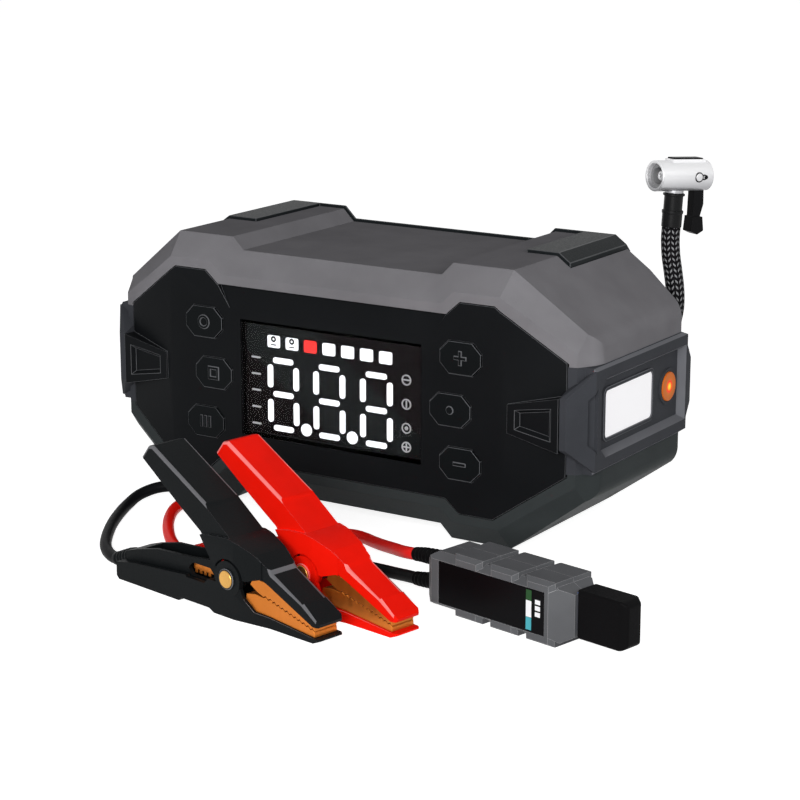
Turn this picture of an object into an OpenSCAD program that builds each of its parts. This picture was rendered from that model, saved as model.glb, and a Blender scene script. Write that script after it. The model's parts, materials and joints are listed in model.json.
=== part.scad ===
// Jump starter pack with tyre inflator, clamp leads and in-line box.
// Origin: middle of the base on the surface it stands on. +Z up, the display faces -Y.

/* [Body] */
// Width of the shells, side face to side face
body_w = 260; // [240:1:280]
// Depth of the body, fascia plane to rear plane
body_d = 108; // [104:1:120]
// Height of the body without its feet, over the shoulders
body_h = 127; // [122:1:136]
// How far the rubber feet lift the body
feet_h = 2.5; // [1.5:0.5:6]
// Diameter of a rubber foot
feet_dia = 16; // [12:1:20]
// Wall of the shells
wall = 3; // [2.4:0.2:3.4]
// Depth of the bevel between the rim and the top
bevel_d = 9.7; // [8:0.5:11]
// Height of the bevel between the rim and the top
bevel_h = 10.8; // [9:0.2:12]
// How far the shoulders rise over the middle of the top
shoulder_rise = 5.9; // [4:0.2:7]
// Half distance between the two shoulders
shoulder_in = 60.4; // [56:0.5:64]
// Half distance between the outer edges of the shoulders
shoulder_out = 91.3; // [88:0.5:93]
// Height of the side faces
side_h = 72; // [66:1:78]
// Height of the side bumpers between the parting lines
bumper_h = 48; // [46:1:54]
// How far a side bumper stands out of the side face
bumper_rise = 1.5; // [1:0.25:3]

/* [Fascia] */
// Thickness of the fascia and the rim behind it
fascia_t = 4; // [3.5:0.25:5]
// Width of the rim round the fascia
rim_w = 2.7; // [2.2:0.1:3.2]
// Gap between a panel and the shell round it
panel_gap = 0.4; // [0.3:0.1:0.6]
// Width of the display window
display_w = 99; // [90:1:103]
// Height of the display window
display_h = 55; // [48:1:57]
// Thickness of the display window
lens_t = 2; // [1.5:0.25:2.5]
// Width of a key
key_w = 21; // [19:0.2:21.6]
// Height of a key
key_h = 14.6; // [13:0.2:16]
// Distance from the middle of the fascia to a middle key
key_x = 65.3; // [64:0.5:68]
// How much further out the upper and lower keys sit
key_shift = 5.2; // [3:0.2:7]
// Distance between two rows of keys
key_pitch = 24.2; // [21:0.2:26]
// Travel of a key
key_travel = 1; // [0.6:0.1:1.2]

/* [Side bays] */
// Length of a side bay
bay_l = 82; // [78:1:86]
// Height of a side bay
bay_h = 31; // [29:0.5:34]
// Length of the work lamp window
lamp_l = 46; // [40:1:48]
// Height of the work lamp window
lamp_h = 22; // [18:0.5:25]
// Diameter of the power button
power_dia = 13.6; // [12:0.2:15]
// Travel of the power button
power_travel = 1.5; // [1:0.1:1.8]

/* [Air pump] */
// Gear module of the pump drive
gear_mod = 0.8; // [0.75:0.05:0.85]
// Teeth on the motor pinion
pinion_teeth = 10; // [9:1:11]
// Teeth on the crank gear
crank_teeth = 50; // [46:2:54]
// Bore of the pump cylinder
cylinder_bore = 16.1; // [14:0.1:18]
// Throw of the crank
crank_throw = 5; // [4:0.25:6]
// Diameter of the drive motor
motor_dia = 28; // [24:1:32]
// Length of the drive motor
motor_l = 38; // [30:1:44]

/* [Air hose and chuck] */
// Outer diameter of the air hose
hose_dia = 8.8; // [8:0.2:9.2]
// Diameter of the chuck barrel
chuck_dia = 14.4; // [13:0.2:16]
// Length of the chuck barrel
chuck_l = 29; // [27:0.5:32]
// Bore of the chuck seal, for a tyre valve
valve_bore = 7.9; // [7.7:0.1:8.1]

/* [Lead set] */
// Diameter of a lead
lead_dia = 5.4; // [5:0.2:6]
// Length of the in-line box
box_l = 78; // [74:1:82]
// Width of the in-line box
box_w = 26; // [24:0.5:28]
// Height of the in-line box over its pads
box_h = 27; // [25:0.5:29]
// Width of a clamp
clamp_w = 21; // [20:0.5:22.5]
// Thickness of a clamp's side walls
clamp_wall = 2.2; // [2:0.1:2.4]
// Diameter of a clamp's rivet
rivet_dia = 5; // [4:0.2:5.4]

/* [Hidden] */
$fn = 48;
eps = 0.01;
big = 400;

// Places on the body
mid_z = feet_h + body_h / 2;
half_d = body_d / 2;
half_w = body_w / 2;
half_h = body_h / 2;
top_mid = half_h - shoulder_rise;
rim_h = half_h - bevel_h;
rim_mid = rim_h - shoulder_rise;
rim_step = 6;
rim_lip = 4.2;
sweep_x = shoulder_out - 1.3;
sweep_k = 8.4 / 33;
rear_sweep_x = shoulder_out + 6.7;
rear_sweep_k = 0.32;
side_d = bevel_d + 8.3;
bumper_z = bumper_h / 2;
fit = 0.3;
run = 0.05;

// ---- body forms ----
// Right half of an outline across the body, from the top middle round to the bottom
function half(xc, xb, xa, xg, zc, zt, zg, ya, yg) = [
  [xc, ya, zc], [xb, ya, zt], [xa, ya, zt], [xg, yg, zg],
  [xg, yg, -zg], [xa, ya, -zt], [xb, ya, -zt], [xc, ya, -zc]];
function whole(h) = concat(h, [for (i = [7:-1:0]) [-h[i][0], h[i][1], h[i][2]]]);
function flat(r) = [for (p = r) [p[0], p[2]]];

// Outline of the top, shoulders and sides, drawn in by t
function section(t, ya, yg) = whole(half(shoulder_in - rim_step + 0.41 * t,
  shoulder_in + 0.41 * t, shoulder_out - 0.33 * t, half_w - t, top_mid - t, half_h - t,
  side_h / 2 - 0.5 * t, ya, yg));
// Outline of the rim, drawn in by t
function rim(t, y) = whole(half(shoulder_in - 0.4 + 0.41 * t, shoulder_in + rim_step + 0.41 * t,
  shoulder_out - 1.3 - 0.33 * t, half_w - 12 - t, rim_mid - t, rim_h - t,
  side_h / 2 - 11.5 - 0.5 * t, y, y));
// Opening in the rim, drawn in by g
function opening(g) = flat(whole(half(shoulder_in + 2.1 + 0.41 * g,
  shoulder_in + 9.2 + 0.41 * g, shoulder_out - 1.2 - rim_w - 0.33 * g,
  half_w - 7.1 - rim_w - g, rim_mid - rim_lip - 0.3 - g, rim_h - rim_lip - g,
  side_h / 2 - 7.8 - rim_w - 0.5 * g, 0, 0)));
rear_in = 6;
function rear_opening(g) = flat(section(rear_in + g, 0, 0));

module loft(rings) {
  n = len(rings[0]);
  m = len(rings);
  polyhedron(points = [for (r = rings) for (p = r) p],
    faces = concat([[for (i = [0:n - 1]) i]], [[for (i = [n - 1:-1:0]) (m - 1) * n + i]],
      [for (k = [0:m - 2]) for (i = [0:n - 1])
        [k * n + i, k * n + n + i, k * n + n + (i + 1) % n]],
      [for (k = [0:m - 2]) for (i = [0:n - 1])
        [k * n + i, k * n + n + (i + 1) % n, k * n + (i + 1) % n]]), convexity = 6);
}

// The body as one solid, drawn in by t
module body_form(t) {
  loft([rim(t, -half_d - 1), rim(t, -half_d), section(t, -half_d + bevel_d, -half_d + side_d),
    section(t, half_d - 4, half_d - 4), section(t + 3, half_d, half_d),
    section(t + 3, half_d + 1, half_d + 1)]);
}

// Plan of the body from above: front and rear swept back at the sides, drawn in by a
function front_y(x) = -half_d + max(0, abs(x) - sweep_x) * sweep_k;
function rear_y(x) = half_d - max(0, abs(x) - rear_sweep_x) * rear_sweep_k;
module plan(a) {
  x = half_w + 10;
  translate([0, 0, -big / 2]) linear_extrude(big)
    polygon([[-x, front_y(x) + a], [-sweep_x, -half_d + a], [sweep_x, -half_d + a],
      [x, front_y(x) + a], [x, rear_y(x) - a], [rear_sweep_x, half_d - a],
      [-rear_sweep_x, half_d - a], [-x, rear_y(x) - a]]);
}
// Extrudes an outline in X and Z along Y, from y0 to y1
module along_y(y0, y1) {
  translate([0, y1, 0]) rotate([90, 0, 0]) linear_extrude(y1 - y0) children();
}
// Extrudes an outline in Y and Z along X, from x0 to x1
module along_x(x0, x1) {
  translate([x0, 0, 0]) rotate([90, 0, 90]) linear_extrude(x1 - x0) children();
}
module block(lo, hi) {
  translate(lo) cube(hi - lo);
}
module mirrored_x() {
  children();
  mirror([1, 0, 0]) children();
}
module octagon(w, h, c) {
  polygon([[-w / 2 + c, -h / 2], [w / 2 - c, -h / 2], [w / 2, -h / 2 + c],
    [w / 2, h / 2 - c], [w / 2 - c, h / 2], [-w / 2 + c, h / 2],
    [-w / 2, h / 2 - c], [-w / 2, -h / 2 + c]]);
}

// Wall all round, then the same with the front and rear openings
module body_skin() {
  difference() {
    intersection() {
      body_form(0);
      plan(0);
    }
    intersection() {
      body_form(wall);
      plan(fascia_t);
    }
  }
}
module body_wall() {
  difference() {
    body_skin();
    along_y(-half_d - 5, 0) polygon(opening(0));
    along_y(0, half_d + 5) polygon(rear_opening(0));
  }
}

// ---- upper and lower shells ----
boss_x = half_w - 24.5;
boss_y = 26;
boss_dia = 9;
screw_dia = 3;
screw_head = 6;
boss_floor = -mid_z + 31;
block_x = 75.5;
block_w = 22.2;
block_y = -5;
lip_d = 4.7;
block_rise = 1.5;
lip_z = top_mid - 8;

module boss(z0, z1) {
  for (x = [-boss_x, boss_x], y = [-boss_y, boss_y])
    translate([x, y, z0]) cylinder(d = boss_dia, h = z1 - z0);
}
module boss_holes(d, z0, z1) {
  for (x = [-boss_x, boss_x], y = [-boss_y, boss_y])
    translate([x, y, z0]) cylinder(d = d, h = z1 - z0);
}
// Room in the upper shell for the rear shell's bumpers and band, larger by g
module shoulder_room(g) {
  mirrored_x() block([block_x - g, block_y - g, half_h - 22],
    [block_x + block_w + g, half_d + 2, half_h + 10]);
  block([-block_x - g, half_d - lip_d - g, lip_z - g], [block_x + g, half_d + 2, half_h + 10]);
}

module upper_shell() {
  color("#58565a") translate([0, 0, mid_z]) difference() {
    union() {
      intersection() {
        body_wall();
        block([-big, -big, bumper_z], [big, big, big]);
      }
      intersection() {
        boss(0, half_h);
        body_form(wall - 0.5);
      }
    }
    shoulder_room(panel_gap);
    boss_holes(screw_dia - 0.5, -eps, 18);
  }
}

cell_x0 = -100;
cell_x1 = -16;
cell_y0 = -24;
cell_y1 = 36;
cell_t = 9;
cell_n = 4;
cell_gap = 0.5;
floor_mid = -top_mid + wall;
cell_z0 = floor_mid + 2.4;
cell_top = cell_z0 + cell_n * cell_t + (cell_n - 1) * cell_gap;
feet_x = (shoulder_in + shoulder_out) / 2;
feet_y = 30;

module lower_shell() {
  color("#3a3d3e") translate([0, 0, mid_z]) difference() {
    union() {
      intersection() {
        body_wall();
        block([-big, -big, -big], [big, big, -bumper_z]);
      }
      intersection() {
        union() {
          boss(-half_h, 0);
          // cradle under the cells
          for (x = [cell_x0 + 6, cell_x1 - 6])
            block([x - 1.5, cell_y0, -half_h], [x + 1.5, cell_y1, cell_z0]);
          for (y = [cell_y0 - 3, cell_y1 + fit])
            block([cell_x0 + 10, y, -half_h], [cell_x1 - 10, y + 3 - fit, cell_z0 + 14]);
          // seats under the pump block
          for (x = pump_feet) block([x - 4, plate_y0 - 4, -half_h], [x + 4, plate_y1 + 4, foot_z]);
        }
        body_form(wall - 0.5);
        plan(fascia_t + 1);
      }
    }
    boss_holes(screw_dia + 0.4, -big, big);
    boss_holes(screw_head + 0.8, -big, boss_floor);
  }
}

// ---- side bumpers ----
bay_y = 3.5;
bay_floor = half_w - 2;
ear_z = 11.5;
ear_x0 = half_w - 10.2;
ear_x1 = half_w - 7.1;
frame_x = half_w + bumper_rise;
frame_z = bumper_z - 1.5;
frame_y0 = -42;
frame_y1 = 49;
nose_y = -half_d + 0.6;
tail_y = half_d - 1.1;

// Rectangle in Y and Z at x, as a thin plate for a hull
module plate_yz(x, y0, y1, z) {
  block([x - eps, y0, -z], [x, y1, z]);
}
// Outline of a bay with cut front corners, g larger all round, as a thin plate at x
module bay_plate(x, front, cut, g) {
  y0 = bay_y - bay_l / 2 + front - g;
  y1 = bay_y + bay_l / 2 + g;
  z = bay_h / 2 + g;
  along_x(x - eps, x)
    polygon([[y0 + cut, -z], [y1, -z], [y1, z], [y0 + cut, z], [y0, z - cut], [y0, -z + cut]]);
}
// The bay starts `front` behind the cover's end, and widens by `bevel` towards the outside
module bumper_body(front, cut, bevel) {
  difference() {
    union() {
      intersection() {
        body_skin();
        block([ear_x0, -big, -bumper_z], [big, big, bumper_z]);
      }
      intersection() {
        union() {
          // nose that reaches round to the fascia
          hull() {
            block([ear_x0, nose_y, -ear_z], [ear_x1, nose_y + eps, ear_z]);
            block([frame_x - 1, frame_y0, -frame_z], [frame_x, frame_y0 + 4, frame_z]);
            block([ear_x0, nose_y + 12, -ear_z - 5], [ear_x0 + 1, nose_y + 13, ear_z + 5]);
          }
          // tail that stands out at the rear
          hull() {
            block([frame_x - 4, tail_y - eps, -ear_z + 1], [frame_x - 0.6, tail_y, ear_z - 1]);
            block([frame_x - 1, frame_y1 - 6, -frame_z], [frame_x, frame_y1 - 4, frame_z]);
            block([ear_x0, rear_y(ear_x0) - 3, -ear_z - 5], [ear_x0 + 1, rear_y(ear_x0) - 1, ear_z + 5]);
          }
          block([half_w - 6, frame_y0, -bumper_z + eps], [half_w - eps, rear_y(half_w), bumper_z - eps]);
          hull() {
            plate_yz(half_w - 0.5, frame_y0, rear_y(half_w) + 1, bumper_z - eps);
            plate_yz(frame_x, frame_y0 + 1, frame_y1 - 1, frame_z);
          }
        }
        block([ear_x0, -big, -bumper_z + eps], [big, big, bumper_z - eps]);
      }
    }
    // bay
    hull() {
      bay_plate(frame_x + 0.5, front, cut, bevel);
      bay_plate(bay_floor, front, cut, 0);
    }
    // shallow panel on the nose
    hull() {
      block([half_w - 5, -half_d + 9, -10], [half_w + 5, -half_d + 9.1, 10]);
      block([half_w - 0.2, -half_d + 14, -15], [half_w + 5, -half_d + 14.1, 15]);
    }
  }
}

lamp_y = bay_y - bay_l / 2 + 9.5 + lamp_l / 2;
power_y = bay_y + bay_l / 2 - 10;
lamp_board_x = half_w - 12.5;
lamp_board_y0 = lamp_y - lamp_l / 2 - 6;
lamp_board_y1 = power_y + 6.5;
lamp_board_h = 20;
board_t = 1.6;
power_flange = 0.8;
power_back = half_w - 6 - fit - power_flange;
lamp_post_y = [lamp_y - lamp_l / 2 - 3.5, (lamp_y + lamp_l / 2 + power_y - power_dia / 2 - 1.2) / 2];

module right_bumper() {
  color("#44464c") translate([0, 0, mid_z]) difference() {
    union() {
      bumper_body(3, 4.5, 2.6);
      // posts for the lamp board
      for (y = lamp_post_y) block([lamp_board_x + board_t, y - 2, -8], [half_w - 5, y + 2, 8]);
      // ring round the power button
      translate([bay_floor - eps, power_y, 0]) rotate([0, 90, 0]) cylinder(d = power_dia + 3.6, h = 0.7);
    }
    translate([0, lamp_y, 0]) block([half_w - 20, -lamp_l / 2 + 1.2, -lamp_h / 2 + 1.2],
      [half_w + 5, lamp_l / 2 - 1.2, lamp_h / 2 - 1.2]);
    translate([0, lamp_y, 0]) block([bay_floor - 1.6, -lamp_l / 2, -lamp_h / 2],
      [half_w + 5, lamp_l / 2, lamp_h / 2]);
    translate([half_w - 20, power_y, 0]) rotate([0, 90, 0]) {
      cylinder(d = power_dia + 2 * fit, h = 30);
      cylinder(d = power_dia + 3.4, h = 14);
    }
  }
}

// Bay with sockets behind a hinged cover
hinge_r = 1.5;
hinge_x = frame_x - 1.3;
hinge_z = -bay_h / 2 + 1.8;
hinge_pin = 1.2;
socket_y = bay_y - bay_l / 2 + 21;
socket_w = 22;
socket_h = 12;
port_y = [bay_y + bay_l / 2 - 33, bay_y + bay_l / 2 - 17];
port_w = 13;
port_h = 6;
port_x = half_w - 12;
port_board_y0 = socket_y + socket_w / 2 + 5;
port_board_y1 = port_y[1] + 12;
port_board_h = 20;

module left_bumper() {
  color("#44464c") translate([0, 0, mid_z]) mirror([1, 0, 0]) difference() {
    union() {
      bumper_body(0, 0, 1.2);
      for (y = [port_board_y0 + 2, port_board_y1 - 2])
        block([port_x + board_t, y - 1.5, -8], [half_w - 5, y + 1.5, 8]);
    }
    translate([0, socket_y, 0]) block([half_w - 30, -socket_w / 2 - fit, -socket_h / 2 - fit],
      [half_w + 5, socket_w / 2 + fit, socket_h / 2 + fit]);
    for (y = port_y) translate([0, y, 0]) block([half_w - 30, -port_w / 2 - fit, -port_h / 2 - fit],
      [half_w + 5, port_w / 2 + fit, port_h / 2 + fit]);
    translate([hinge_x, bay_y - bay_l / 2 - 1.6, hinge_z]) rotate([-90, 0, 0])
      cylinder(r = hinge_pin + run, h = bay_l + 3.2);
  }
}

// Cover in its closed place, on the left
module port_cover() {
  len_y = bay_l - 2 * 0.6;
  y0 = bay_y - len_y / 2;
  color("#222426") translate([0, 0, mid_z]) mirror([1, 0, 0]) union() {
    block([bay_floor + fit, y0, hinge_z + 1.2], [hinge_x + 0.9, y0 + len_y, bay_h / 2 - 0.6]);
    translate([hinge_x, y0, hinge_z]) rotate([-90, 0, 0]) cylinder(r = hinge_r, h = len_y);
    translate([hinge_x, y0 - 1.6, hinge_z]) rotate([-90, 0, 0])
      cylinder(r = hinge_pin, h = len_y + 3.2);
    // finger tab
    block([hinge_x, y0 + len_y / 2 - 8, bay_h / 2 - 3], [hinge_x + 2.2, y0 + len_y / 2 + 8, bay_h / 2 - 0.6]);
  }
}

socket_l = 17;
module jump_socket() {
  color("#2f6fd0") translate([0, 0, mid_z]) mirror([1, 0, 0]) difference() {
    block([bay_floor - socket_l, socket_y - socket_w / 2, -socket_h / 2],
      [bay_floor - 0.2, socket_y + socket_w / 2, socket_h / 2]);
    block([bay_floor - socket_l + 6, socket_y - socket_w / 2 + 2, -socket_h / 2 + 2],
      [bay_floor + 1, socket_y + socket_w / 2 - 2, socket_h / 2 - 2]);
  }
}
module port_board() {
  color("#1d5b3a") translate([0, 0, mid_z]) mirror([1, 0, 0]) difference() {
    union() {
      block([port_x, port_board_y0, -port_board_h / 2], [port_x + board_t, port_board_y1, port_board_h / 2]);
      for (y = port_y) block([port_x + board_t - eps, y - port_w / 2, -port_h / 2],
        [bay_floor - 0.2, y + port_w / 2, port_h / 2]);
    }
    for (y = port_y) block([port_x + board_t, y - port_w / 2 + 0.6, -port_h / 2 + 0.6],
      [bay_floor + 1, y + port_w / 2 - 0.6, port_h / 2 - 0.6]);
  }
}

// ---- fascia ----
face_z = -0.8;
rebate = 1.4;
glow_gap = 0.1;
crease_z = display_h / 2 + 4;
crease_x = display_w / 2 + 6;
crease_drop = 3;
tongue_x0 = shoulder_out + 2.7;
tongue_x1 = ear_x0;
pocket_d = 2;
key_proud = 0.8;
key_cut = 4.6;
function key_place(side, row) = [side * (key_x + (row == 0 ? 0 : key_shift)), face_z + row * key_pitch];

// Slab that follows the front, from a to b behind it
module front_slab(a, b) {
  x = half_w + 10;
  translate([0, 0, -big / 2]) linear_extrude(big)
    polygon([[-x, front_y(x) + a], [-sweep_x, -half_d + a], [sweep_x, -half_d + a],
      [x, front_y(x) + a], [x, front_y(x) + b], [sweep_x, -half_d + b],
      [-sweep_x, -half_d + b], [-x, front_y(x) + b]]);
}
module at_key(side, row) {
  p = key_place(side, row);
  translate([p[0], 0, p[1]]) children();
}
module front_fascia() {
  color("#15191a") translate([0, 0, mid_z]) difference() {
    union() {
      intersection() {
        along_y(-half_d - 5, 0) polygon(opening(panel_gap));
        front_slab(0, fascia_t);
      }
      // flange behind the rim
      difference() {
        intersection() {
          along_y(-half_d, 0) polygon(opening(-2));
          front_slab(fascia_t, fascia_t + 2);
          body_form(wall + fit);
        }
        along_y(-half_d - 1, 1) polygon(opening(2.5));
      }
      // tongue that runs out level to the bumper's nose
      mirrored_x() along_y(-half_d, -half_d + 8)
        polygon([[tongue_x0, face_z + 6.5], [tongue_x1, face_z + 12.3],
          [tongue_x1, face_z - 12.3], [tongue_x0, face_z - 6.5]]);
    }
    mirrored_x() block([ear_x0 - panel_gap, -big, -big], [big, big, big]);
    // sloping field over the display
    intersection() {
      along_y(-half_d - 5, 0) polygon([[-crease_x, crease_z], [crease_x, crease_z],
        [shoulder_in + 9.2, rim_h], [-shoulder_in - 9.2, rim_h]]);
      translate([0, -half_d, crease_z]) rotate([-atan(crease_drop / 14), 0, 0])
        block([-big, -big, -1], [big, 0, 40]);
    }
    // pockets at both ends
    mirrored_x() hull() {
      along_y(-half_d - 1, -half_d - 1 + eps) polygon([[97, face_z + 5], [116.6, face_z + 8.2],
        [116.6, face_z - 8.2], [97, face_z - 5]]);
      along_y(-half_d + pocket_d, -half_d + pocket_d + eps) polygon([[99.5, face_z + 3],
        [114.2, face_z + 5.6], [114.2, face_z - 5.6], [99.5, face_z - 3]]);
    }
    translate([0, 0, face_z]) block([-display_w / 2 - fit, -half_d - 5, -display_h / 2 - fit],
      [display_w / 2 + fit, -half_d + lens_t, display_h / 2 + fit]);
    translate([0, 0, face_z]) block([-display_w / 2 + rebate, -half_d - 5, -display_h / 2 + rebate],
      [display_w / 2 - rebate, 0, display_h / 2 - rebate]);
    for (s = [-1, 1], r = [-1, 0, 1]) at_key(s, r) along_y(-half_d - 5, 0)
      octagon(key_w + 2 * fit, key_h + 2 * fit, key_cut);
  }
}
module display_window() {
  color([0.05, 0.05, 0.06, 0.6]) translate([0, 0, mid_z + face_z])
    block([-display_w / 2, -half_d, -display_h / 2], [display_w / 2, -half_d + lens_t, display_h / 2]);
}
glow_y = -half_d + lens_t + glow_gap;
glow_t = 0.5;
front_board_y = -half_d + fascia_t + 5;
dome_gap = 0.3;
flange_t = 1;
module front_board() {
  color("#1b2a1e") translate([0, 0, mid_z]) union() {
    block([-key_x - 14, front_board_y, face_z - display_h / 2 + 0.5],
      [key_x + 14, front_board_y + board_t, face_z + display_h / 2 - 0.5]);
    block([-display_w / 2 + rebate + fit, glow_y + glow_t, face_z - display_h / 2 + rebate + fit],
      [display_w / 2 - rebate - fit, front_board_y + eps, face_z + display_h / 2 - rebate - fit]);
    for (s = [-1, 1], r = [-1, 0, 1]) at_key(s, r)
      translate([0, front_board_y + eps, 0]) rotate([90, 0, 0])
        cylinder(d = 5, h = front_board_y + half_d - fascia_t - fit - flange_t - key_travel - dome_gap);
    // spacers that hold the board off the fascia
    for (x = [-display_w / 2 - 2, display_w / 2 + 2], z = [-16, 16])
      translate([x, front_board_y + eps, face_z + z]) rotate([90, 0, 0])
        cylinder(d = 2.4, h = front_board_y + half_d - fascia_t + eps);
  }
}

// Lit bars: three figures, their points and a row of squares
digit_w = 14.5;
digit_h = 29.8;
digit_pitch = 25.3;
digits_x = -1.6;
digits_z = -5.6;
bar = 2.6;
dot_dia = 5.4;
dots_z = digits_z - digit_h / 2 + dot_dia / 2 - 0.2;
lamp_n = 7;
lamp_pitch = 10.15;
lamp_w = 6.5;
lamp_size_h = 5.8;
module segment(l, upright) {
  rotate([0, upright ? 90 : 0, 0]) along_y(glow_y, glow_y + glow_t)
    polygon([[-l / 2, 0], [-l / 2 + bar / 2, bar / 2], [l / 2 - bar / 2, bar / 2],
      [l / 2, 0], [l / 2 - bar / 2, -bar / 2], [-l / 2 + bar / 2, -bar / 2]]);
}
module figure8() {
  for (z = [-digit_h / 2, 0, digit_h / 2]) translate([0, 0, z]) segment(digit_w - 2, false);
  for (x = [-digit_w / 2, digit_w / 2], z = [-digit_h / 4, digit_h / 4])
    translate([x, 0, z]) segment(digit_h / 2 - 1.4, true);
}
module display_segments() {
  color("white") translate([digits_x, 0, mid_z + face_z]) {
    for (i = [-1, 0, 1]) translate([i * digit_pitch, 0, digits_z]) figure8();
    for (i = [-0.5, 0.5]) translate([i * digit_pitch, glow_y + glow_t, dots_z])
      rotate([90, 0, 0]) cylinder(d = dot_dia, h = glow_t);
    for (i = [0:lamp_n - 1]) translate([(i - (lamp_n - 1) / 2) * lamp_pitch, 0, display_h / 2 - 9.2])
      block([-lamp_w / 2, glow_y, -lamp_size_h / 2], [lamp_w / 2, glow_y + glow_t, lamp_size_h / 2]);
  }
}

// Keys: an octagonal cap with a raised generic sign and a flange behind the fascia
module key_sign(kind) {
  if (kind == "plus") {
    square([6.4, 1.5], center = true);
    square([1.5, 6.4], center = true);
  }
  if (kind == "minus") square([6.4, 1.5], center = true);
  if (kind == "bars") for (x = [-2.4, 0, 2.4]) translate([x, 0]) square([1.3, 5.6], center = true);
  if (kind == "ring") difference() {
    circle(d = 6.6);
    circle(d = 4);
  }
  if (kind == "box") difference() {
    square([6.2, 6.2], center = true);
    square([3.4, 3.4], center = true);
  }
  if (kind == "dot") circle(d = 3.6);
}
module key_cap(side, row, kind) {
  color("#1c2122") translate([0, 0, mid_z]) at_key(side, row) {
    along_y(-half_d - key_proud, -half_d + fascia_t + fit + eps) octagon(key_w, key_h, key_cut);
    along_y(-half_d + fascia_t + fit, -half_d + fascia_t + fit + flange_t)
      octagon(key_w + 1.6, key_h + 1.6, key_cut + 0.5);
    along_y(-half_d - key_proud - 0.4, -half_d - key_proud + eps) key_sign(kind);
  }
}

// ---- work lamp and power button ----
module lamp_window() {
  color("white") translate([0, lamp_y, mid_z])
    block([bay_floor - 1.6, -lamp_l / 2 + 0.1, -lamp_h / 2 + 0.1],
      [bay_floor + 0.4, lamp_l / 2 - 0.1, lamp_h / 2 - 0.1]);
}
module power_button() {
  color("#e07a1c") translate([power_back, power_y, mid_z]) rotate([0, 90, 0]) union() {
    cylinder(d = power_dia, h = bay_floor + 1.2 - power_back);
    cylinder(d = power_dia + 2.4, h = power_flange);
  }
}
module lamp_board() {
  color("#e8e6da") translate([lamp_board_x, 0, mid_z]) union() {
    block([0, lamp_board_y0, -lamp_board_h / 2], [board_t, lamp_board_y1, lamp_board_h / 2]);
    for (y = [-15:7.5:15], z = [-4.5, 4.5]) translate([board_t - eps, lamp_y + y, z])
      block([0, -1.6, -1.6], [1.2, 1.6, 1.6]);
    // switch behind the power button
    translate([board_t - eps, power_y, 0]) rotate([0, 90, 0])
      cylinder(d = 5, h = power_back - power_travel - dome_gap - lamp_board_x - board_t);
  }
}

// ---- rear shell ----
vent_n = 7;
hose_y = half_d + hose_dia / 2 + 0.6;
outlet_x = 66;
stub_dia = 8;
stub_l = 8.6;
outlet_z = 36;
bend_r = 36;
clip_wall = 1.7;
clip_l = 8;
clip_bore = hose_dia / 2 + 0.3;

// Slab that follows the rear, b thick
module rear_slab(b) {
  x = half_w + 10;
  translate([0, 0, -big / 2]) linear_extrude(big)
    polygon([[-x, rear_y(x) - b], [-rear_sweep_x, half_d - b], [rear_sweep_x, half_d - b],
      [x, rear_y(x) - b], [x, rear_y(x)], [rear_sweep_x, half_d], [-rear_sweep_x, half_d],
      [-x, rear_y(x)]]);
}
// C clip open towards +Y on a post from the panel; upright or along X
post_w = 6.8;
module clip(x, y, z, upright) {
  root = rear_y(abs(x) + post_w / 2) - 1 - y;
  translate([x, y, z]) rotate(upright ? [0, 0, 0] : [0, 90, 0]) difference() {
    union() {
      cylinder(r = clip_bore + clip_wall, h = clip_l, center = true);
      translate([-post_w / 2, root, -clip_l / 2]) cube([post_w, -clip_bore - root, clip_l]);
    }
    cylinder(r = clip_bore, h = clip_l + 1, center = true);
    translate([-clip_bore * 0.78, 0, -clip_l]) cube([clip_bore * 1.56, 20, clip_l * 2]);
  }
}
clip_x = [20, -50];
rise_x = 113;
rise_y = half_d + hose_dia / 2 + 2;
left_x = -111;
module rear_shell() {
  color("#17191b") translate([0, 0, mid_z]) difference() {
    union() {
      intersection() {
        union() {
          along_y(10, half_d + 5) polygon(rear_opening(panel_gap));
          // band between the two bumpers
          block([-block_x - eps, 10, lip_z], [block_x + eps, half_d + 5, half_h + 10]);
          mirrored_x() block([block_x, 10, half_h - 21], [block_x + block_w, half_d + 5, half_h + 10]);
        }
        rear_slab(lip_d);
        body_form(-block_rise);
      }
      // shoulder bumpers
      difference() {
        intersection() {
          body_form(-block_rise);
          mirrored_x() block([block_x, block_y, half_h - 21],
            [block_x + block_w, half_d - lip_d + 1, half_h + 10]);
        }
        body_form(wall);
      }
      for (x = clip_x, z = [outlet_z, outlet_z - 2 * bend_r]) clip(x, hose_y, z, false);
      clip(left_x, hose_y, outlet_z - bend_r, true);
      clip(rise_x, rise_y, 4.5, true);
    }
    mirrored_x() block([ear_x0 - panel_gap, 0, -bumper_z - panel_gap], [big, big, bumper_z + panel_gap]);
    // room for the lamp board's end
    block([lamp_board_x - fit, 0, -lamp_board_h / 2 - fit],
      [lamp_board_x + board_t + fit, lamp_board_y1 + fit, lamp_board_h / 2 + fit]);
    // room for the port board's end
    block([-port_x - board_t - fit, 0, -port_board_h / 2 - fit],
      [-port_x + fit, port_board_y1 + fit, port_board_h / 2 + fit]);
    // vents over the motor
    for (i = [0:vent_n - 1]) translate([pinion_x - 18 + i * 6, 0, pinion_z - mid_z])
      block([-1.4, half_d - 15, -13], [1.4, half_d + 5, 13]);
    translate([outlet_x, half_d + 5, outlet_z]) rotate([90, 0, 0]) cylinder(d = stub_dia + 2 * run, h = 20);
  }
}

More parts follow.
